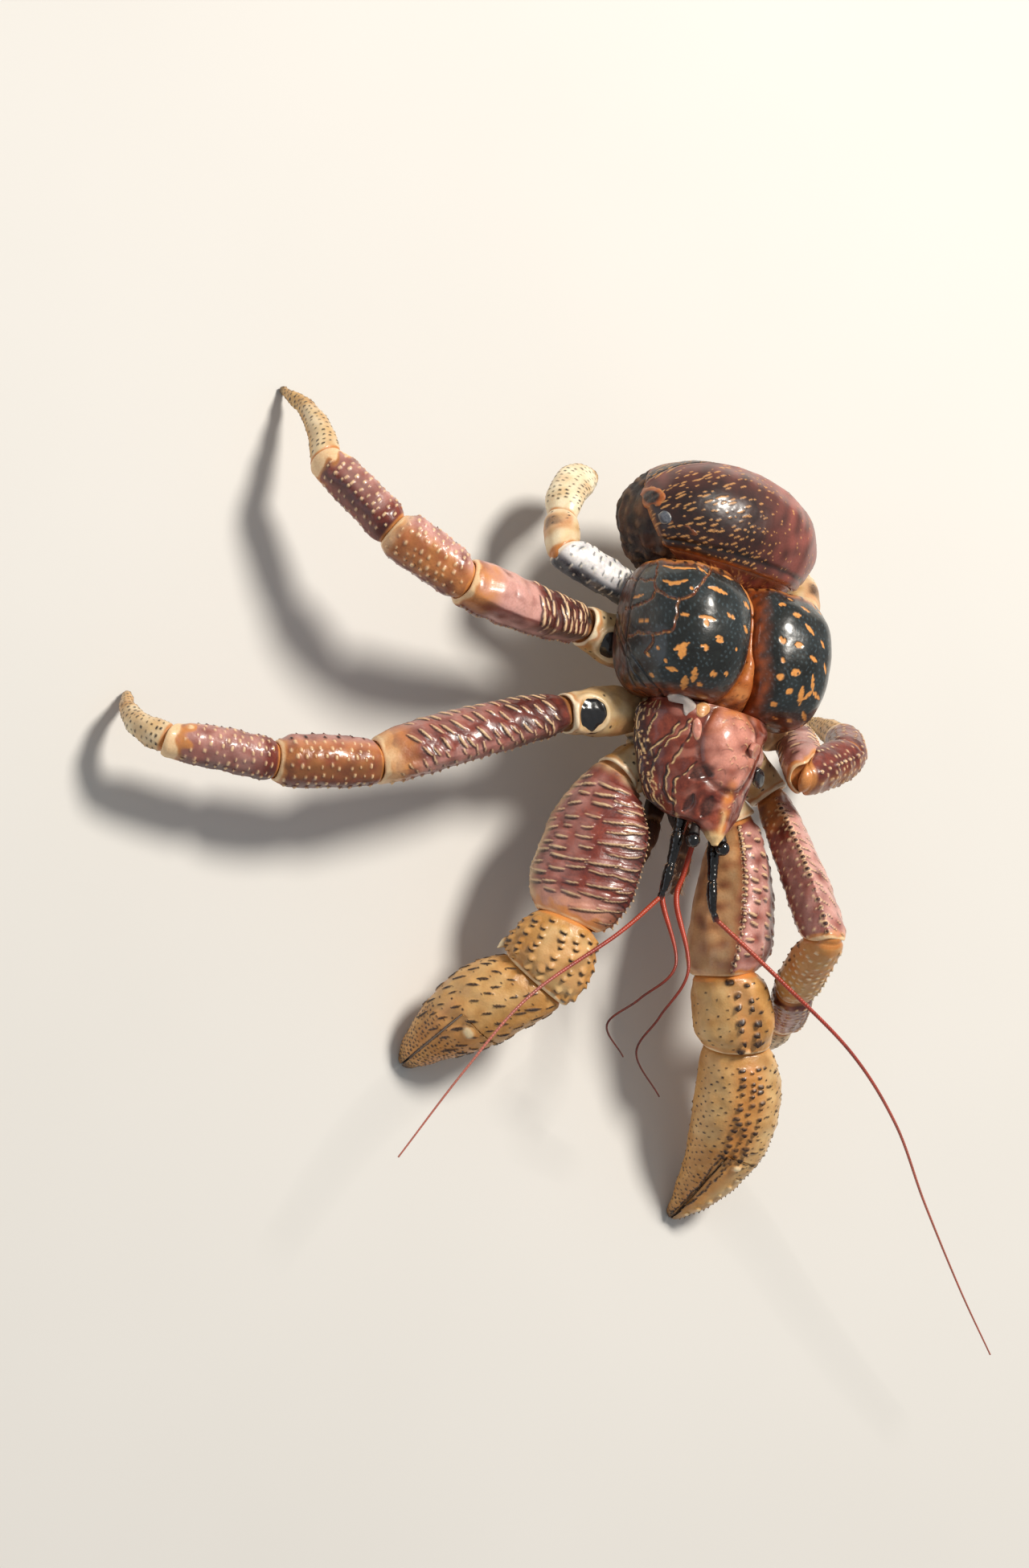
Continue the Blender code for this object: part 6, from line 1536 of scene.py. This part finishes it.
def build_tail():
    """The tail fan folded under the belly: a flat oval with three lobes and rounded edges."""
    table = np.array(TAIL)[::-1]
    along = np.linspace(71.2, 107.8, TAIL_GRID[0])[:, None]
    half, thick = (eased(along, table[:, 0], table[:, index]) for index in (1, 2))
    x, z = round_turn(turns_of(TAIL_GRID[1]), (2.5, 2.5))
    local = places_of(half * x, along, TAIL_FLAT - 1.0 + np.where(z >= 0.0, 0.7, thick) * z)
    points = body(local)
    normals = normals_of(points)
    ribs = smooth(1.0 - np.abs(np.abs(local[..., 0]) - 0.45 * half) / 1.1)
    cross = smooth(1.0 - np.abs(local[..., 1] - 96.0) / 1.2)
    lift = -0.7 * ribs - 0.6 * cross
    piece("tail_fan", points + normals * lift[..., None], "limb_straw", "tail_fan",
          dark=0.6 * np.maximum(ribs, cross), warm=0.3, pale=0.2, bloom=0.2)


def tube(route, radii, grid):
    """Rings of a round tube carried along a curve, its radius read from evenly spaced values."""
    count, sides = grid
    line, long = curve_through(route, count)
    forward = unit(np.gradient(line, axis=0))
    side = unit(np.cross(forward, UP))
    rise = np.cross(side, forward)
    radius = np.interp(np.linspace(0.0, 1.0, count), np.linspace(0.0, 1.0, len(radii)), radii)
    turn = np.linspace(0.0, 2.0 * math.pi, sides, endpoint=False)
    ring = side[:, None, :] * np.cos(turn)[None, :, None] + rise[:, None, :] * np.sin(turn)[None, :, None]
    return line, ring, radius, long


def thread_of(route, radii, grid, pitch, waist, swell):
    """A ringed thread's skin, the share of the way along it and its rings.

    Its radius is scaled by waist + swell * |sin(pi * travel / pitch)|^0.6.
    """
    line, ring, radius, long = tube(route, radii, grid)
    travel = np.linspace(0.0, long, grid[0])
    rings = np.abs(np.sin(travel * math.pi / pitch)) ** 0.6
    points = line[:, None, :] + ring * (radius * (waist + swell * rings))[:, None, None]
    return points, (travel / long)[:, None] * np.ones(grid[1]), rings


def build_feelers():
    """Antennae of many short rings, forked antennules, dark jointed stems and hairy mouth limbs."""
    for side in ("right", "left"):
        points, share, rings = thread_of(ANTENNA[side], ANTENNA_RADII, ANTENNA_GRID, 1.5, 0.90, 0.14)
        piece("antenna_" + side, points, "feeler_red", "antenna_" + side,
              warm=0.5 * smooth(1.0 - share * 3.0), bloom=0.55 * smooth(share * 1.6 - 0.2),
              dark=0.5 * (1.0 - rings)[:, None])
        points, share, _ = thread_of(ANTENNULE[side], ANTENNULE_RADII, ANTENNULE_GRID, 1.1, 0.92, 0.10)
        piece("antennule_" + side, points, "feeler_red", "antennule_" + side, warm=0.3,
              dark=0.85 * smooth(share * 3.0 - 1.1))
        build_stem(side)
        build_mouth_limb(side)


def build_stem(side):
    """The black stem of an antenna: three stout lengths with swollen joints, darker than all round it."""
    line, ring, radius, _ = tube(ANTENNA_BASE[side], STEM_RADII, STEM_GRID)
    points = line[:, None, :] + ring * radius[:, None, None]
    share = np.linspace(0.0, 1.0, STEM_GRID[0])[:, None] * np.ones(STEM_GRID[1])
    joint = np.max([smooth(1.0 - np.abs(share - place) * 34.0) for place in (0.30, 0.62, 0.92)], axis=0)
    lift = -0.35 * joint + 0.10 * ripple(points, 2.0, SEED + 34)
    points = points + normals_of(points) * lift[..., None]
    piece("antenna_base_" + side, points, "hide_dark", "antenna_base_" + side, finish="black_horn",
          bloom=0.4 * joint, warm=0.8 * smooth(share * 12.0 - 11.2))
    hairs("stem_hairs_" + side, line, radius, (78, 80, 164), 14, 2.4, SEED + 50)


def build_mouth_limb(side):
    """A mouth limb: four lengths tapering to a blunt end, dark brown with red flanks and bristles."""
    line, ring, radius, _ = tube(MAXILLIPED[side], MOUTH_LIMB_RADII, MOUTH_LIMB_GRID)
    points = line[:, None, :] + ring * radius[:, None, None]
    share = np.linspace(0.0, 1.0, MOUTH_LIMB_GRID[0])[:, None] * np.ones(MOUTH_LIMB_GRID[1])
    joint = np.max([smooth(1.0 - np.abs(share - place) * 26.0) for place in (0.28, 0.55, 0.8)], axis=0)
    lift = -0.5 * joint + 0.2 * ripple(points, 4.0, SEED + 35)
    points = points + normals_of(points) * lift[..., None]
    piece("maxilliped_" + side, points, "hide_dark", "maxilliped_" + side, warm=0.35 * smooth(share * 2.0),
          pale=0.3 * joint, dark=0.3 * (1.0 - joint))
    hairs("mouth_bristles_" + side, line, radius, (60, 90, 120, 145, 165, 180, 192), 18, 3.8, SEED + 60)


def hairs(name, line, radius, rings, count, length, seed):
    """Tapered three-sided bristles standing out round a stem at given steps and leaning to its tip."""
    draw = np.random.default_rng(seed)
    forward = unit(np.gradient(line, axis=0))
    side = unit(np.cross(forward, UP))
    rise = np.cross(side, forward)
    step = np.repeat(np.array(rings), count)
    turn = draw.uniform(0.0, 2.0 * math.pi, len(step))
    out = side[step] * np.cos(turn)[:, None] + rise[step] * np.sin(turn)[:, None]
    root = line[step] + out * (radius[step] * 0.9)[:, None]
    root = root + forward[step] * draw.uniform(-1.5, 1.5, len(step))[:, None]
    long = draw.uniform(0.5, 1.1, len(step)) * length
    way = unit(out + forward[step] * draw.uniform(0.7, 1.5, len(step))[:, None])
    bristle_mesh(name, root, way, long, 0.09)


def bristle_mesh(name, root, way, long, half):
    """One mesh of many bristles: three rings of three points each, drawn in to a fine tip."""
    side = unit(np.cross(way, np.array((0.31, 0.2, 0.93))))
    rise = np.cross(side, way)
    turn = np.array((0.0, 2.0, 4.0)) * math.pi / 3.0
    ring = side[:, None, :] * np.cos(turn)[None, :, None] + rise[:, None, :] * np.sin(turn)[None, :, None]
    rings = [root[:, None, :] + way[:, None, :] * (long * share)[:, None, None] + ring * half * wide
             for share, wide in ((0.0, 1.0), (0.5, 0.8), (1.0, 0.15))]
    places = np.stack(rings, axis=1).reshape(-1, 3)
    quads = []
    for low in (0, 3):
        for corner in range(3):
            after = (corner + 1) % 3
            quads.append((low + corner, low + after, low + 3 + after, low + 3 + corner))
    base = (np.arange(len(root)) * 9)[:, None, None]
    faces = (np.array(quads)[None, :, :] + base).reshape(-1, 4)
    caps = (np.array(((2, 1, 0), (6, 7, 8)))[None, :, :] + base).reshape(-1, 3)
    mesh = bpy.data.meshes.new(name)
    mesh.from_pydata(((places + CENTRE) * MM).tolist(), [], faces.tolist() + caps.tolist())
    for key, value in (("pale", 0.45), ("dark", 0.0), ("warm", 0.3), ("bloom", 0.0)):
        mesh.attributes.new(key, "FLOAT", "POINT").data.foreach_set("value", np.full(len(places), value))
    mesh.materials.append(MATERIALS["hide_dark"])
    thing = bpy.data.objects.new(name, mesh)
    bpy.context.scene.collection.objects.link(thing)
    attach(thing, "root")


def build_eyes():
    """Eyes: a waisted stalk and a wet globe a little longer than wide, each turned about its stalk's line."""
    for side in ("right", "left"):
        mirror = mirror_of(side)
        root, tip = (body(np.array(place) * mirror) for place in STALK)
        line, ring, radius, _ = tube((root, 0.5 * (root + tip), tip), STALK_RADII, STALK_GRID)
        points = line[:, None, :] + ring * radius[:, None, None]
        share = np.linspace(0.0, 1.0, STALK_GRID[0])[:, None]
        piece("eyestalk_" + side, points, "hide_dark", "eyestalk_" + side, dark=0.7,
              warm=0.3 * (1.0 - share))
        way = unit(tip - root)
        across = unit(np.cross(way, UP))
        up = np.cross(across, way)
        bend = np.linspace(0.06, 0.97, GLOBE_GRID[0])[:, None] * math.pi
        turn = np.linspace(0.0, 2.0 * math.pi, GLOBE_GRID[1], endpoint=False)[None, :]
        out = (across * np.cos(turn)[..., None] + up * np.sin(turn)[..., None]) * np.sin(bend)[..., None]
        globe = tip + way * (EYE_RADIUS * 0.85) + EYE_RADIUS * (out - way * 1.05 * np.cos(bend)[..., None])
        piece("eye_" + side, globe, "eye_black", "eye_" + side)


def cushion_base(points, normals, pixels, middle):
    """The smooth ground under a cushion, met by the rays through its pixels.

    A height h(u, v) = a + bu + cv + du^2 + euv + fv^2 over a plane through the middle is fitted to the skin
    round it that faces the camera, and each ray's meeting with the plane is moved by h four times.
    """
    _, up, back, place = camera_axes()
    centre = under_pixels(points, normals, [middle])[0]
    reach = MM_A_PX * 1.35 * np.linalg.norm(pixels - middle, axis=1).max()
    near = (np.linalg.norm(points - centre, axis=-1) < reach) & (normals @ back > 0.25)
    face = unit(normals[near].mean(axis=0) + 0.2 * back)
    first = unit(np.cross(face, up))
    second = np.cross(face, first)
    away = points[near] - centre
    u, v, rise = away @ first, away @ second, away @ face
    terms = np.stack((np.ones_like(u), u, v, u * u, u * v, v * v), axis=-1)
    stiff = np.diag((0.0, 0.0, 0.0, 1.0, 1.0, 1.0)) * 30.0 * len(u)
    weights = np.linalg.solve(terms.T @ terms + stiff, terms.T @ rise)
    ray = rays_through(pixels)
    height = np.zeros(len(pixels))
    for _ in range(4):
        base = place + ray * (((centre - place) @ face + height) / (ray @ face))[:, None]
        u, v = (base - centre) @ first, (base - centre) @ second
        height = np.stack((np.ones_like(u), u, v, u * u, u * v, v * v), axis=-1) @ weights
    return base, face


def build_pads():
    """Lips, knobs, soft windows and flaps: low cushions with a thin raised rim.

    Each rises as h(1 - s^4) from its rim to its middle, s being the share of the way out.
    """
    rows, turns = CUSHION_GRID
    share = np.linspace(1.0, 0.05, rows)[:, None, None]
    for name, (outline, hosts, height, slot, finish, fields) in PADS.items():
        points = np.concatenate([SKINS[host].reshape(-1, 3) for host in hosts])
        normals = np.concatenate([normals_of(SKINS[host]).reshape(-1, 3) for host in hosts])
        ring = curve_through(outline + outline[:1], turns + 1)[0][:-1]
        middle = ring.mean(axis=0)
        base, face = cushion_base(points, normals, (middle + share * (ring - middle)).reshape(-1, 2), middle)
        base = base.reshape(rows, turns, 3)
        rim = smooth(1.0 - np.abs(share - 0.86) / 0.12)
        rise = height * (1.0 - share ** 4) + 0.12 * rim + 0.16 * ripple(base, 4.0, SEED + 70)[..., None]
        under = (base - face * CUSHION_THICK)[::-1]
        worn = 0.5 + 0.8 * ripple(np.concatenate((base, base)), 4.0, SEED + 71)
        edge = np.concatenate((np.zeros(rows), rim[:, 0, 0]))[:, None] * np.clip(worn, 0.0, 1.0)
        heart = np.concatenate((np.zeros(rows), smooth((0.72 - share[:, 0, 0]) * 4.0)))[:, None]
        horn = finish == "black_horn"
        skin = {key: value for key, value in fields.items() if key != "heart"}
        skin["pale"] = np.maximum(skin.get("pale", 0.0), edge * (0.12 if horn else 0.5))
        skin["dark"] = np.maximum(skin.get("dark", 0.0), heart * fields.get("heart", 0.0))
        piece(name, np.concatenate((under, base + face * (rise - 0.1))), slot, finish=finish, **skin)


def build_stage():
    """A plain pale floor, a soft key from the upper right, a weak fill and a pale sky."""
    mesh = bpy.data.meshes.new("floor")
    corners = [(x * FLOOR_HALF, y * FLOOR_HALF, FLOOR_LEVEL) for x, y in ((-1, -1), (1, -1), (1, 1), (-1, 1))]
    mesh.from_pydata(corners, [], [(0, 1, 2, 3)])
    floor = bpy.data.objects.new("floor", mesh)
    bpy.context.scene.collection.objects.link(floor)
    paper = bpy.data.materials.new("pale_paper_floor")
    paper.use_nodes = True
    tree = paper.node_tree
    shader = tree.nodes["Principled BSDF"]
    place = add(tree, "ShaderNodeTexCoord", {}, {}).outputs["Object"]
    cloud = add(tree, "ShaderNodeTexNoise", {}, {"Vector": place, "Scale": 3.0, "Detail": 3.0})
    shade = add(tree, "ShaderNodeMix", {"data_type": "RGBA"},
                {0: cloud.outputs["Fac"], 6: hex_colour("#d9d7d2"), 7: hex_colour("#e2e0dc")})
    tree.links.new(shade.outputs[2], shader.inputs["Base Color"])
    shader.inputs["Roughness"].default_value = 0.9
    mesh.materials.append(paper)
    world = bpy.data.worlds.new("studio")
    bpy.context.scene.world = world
    world.use_nodes = True
    world.node_tree.nodes["Background"].inputs["Color"].default_value = hex_colour("#e6e8ea")
    world.node_tree.nodes["Background"].inputs["Strength"].default_value = SKY_STRENGTH
    bpy.context.scene.view_settings.view_transform = "Standard"
    right, up, back, _ = camera_axes()
    for name, ((across, over, toward), distance, size, power, colour) in LAMPS.items():
        lamp = bpy.data.lights.new(name, "AREA")
        lamp.shape = "DISK"
        lamp.size = size
        lamp.energy = power
        lamp.color = hex_colour(colour)[:3]
        thing = bpy.data.objects.new(name, lamp)
        bpy.context.scene.collection.objects.link(thing)
        way = unit(right * across + up * over + back * toward)
        spot = (AIM + way * distance + CENTRE) * MM
        thing.location = spot
        thing.rotation_euler = Vector(spot - (AIM + CENTRE) * MM).to_track_quat("Z", "Y").to_euler()


def build_camera():
    """The camera at the picture's viewing angle, turned as its axes say."""
    right, up, back, place = camera_axes()
    lens = bpy.data.cameras.new("camera")
    lens.sensor_width = SENSOR
    lens.lens = FOCAL_PX * SENSOR / PICTURE[1]
    lens.clip_start = 0.01
    lens.clip_end = 50.0
    lens.dof.use_dof = False
    camera = bpy.data.objects.new("camera", lens)
    bpy.context.scene.collection.objects.link(camera)
    turned = Matrix((right, up, back)).transposed().to_4x4()
    turned.translation = Vector((place + CENTRE) * MM)
    camera.matrix_world = turned
    bpy.context.scene.camera = camera


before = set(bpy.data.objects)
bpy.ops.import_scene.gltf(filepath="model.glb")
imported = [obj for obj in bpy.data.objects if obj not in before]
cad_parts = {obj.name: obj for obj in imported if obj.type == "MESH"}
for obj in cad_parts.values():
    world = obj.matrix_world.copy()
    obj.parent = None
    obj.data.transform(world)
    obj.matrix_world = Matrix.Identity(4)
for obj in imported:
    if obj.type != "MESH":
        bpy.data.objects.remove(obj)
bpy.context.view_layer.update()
make_finishes()
build_lobes()
build_wedge()
build_shield()
build_sternum()
build_belly()
build_back()
build_tail()
build_limbs()
build_feelers()
build_eyes()
build_pads()
build_stage()
build_camera()
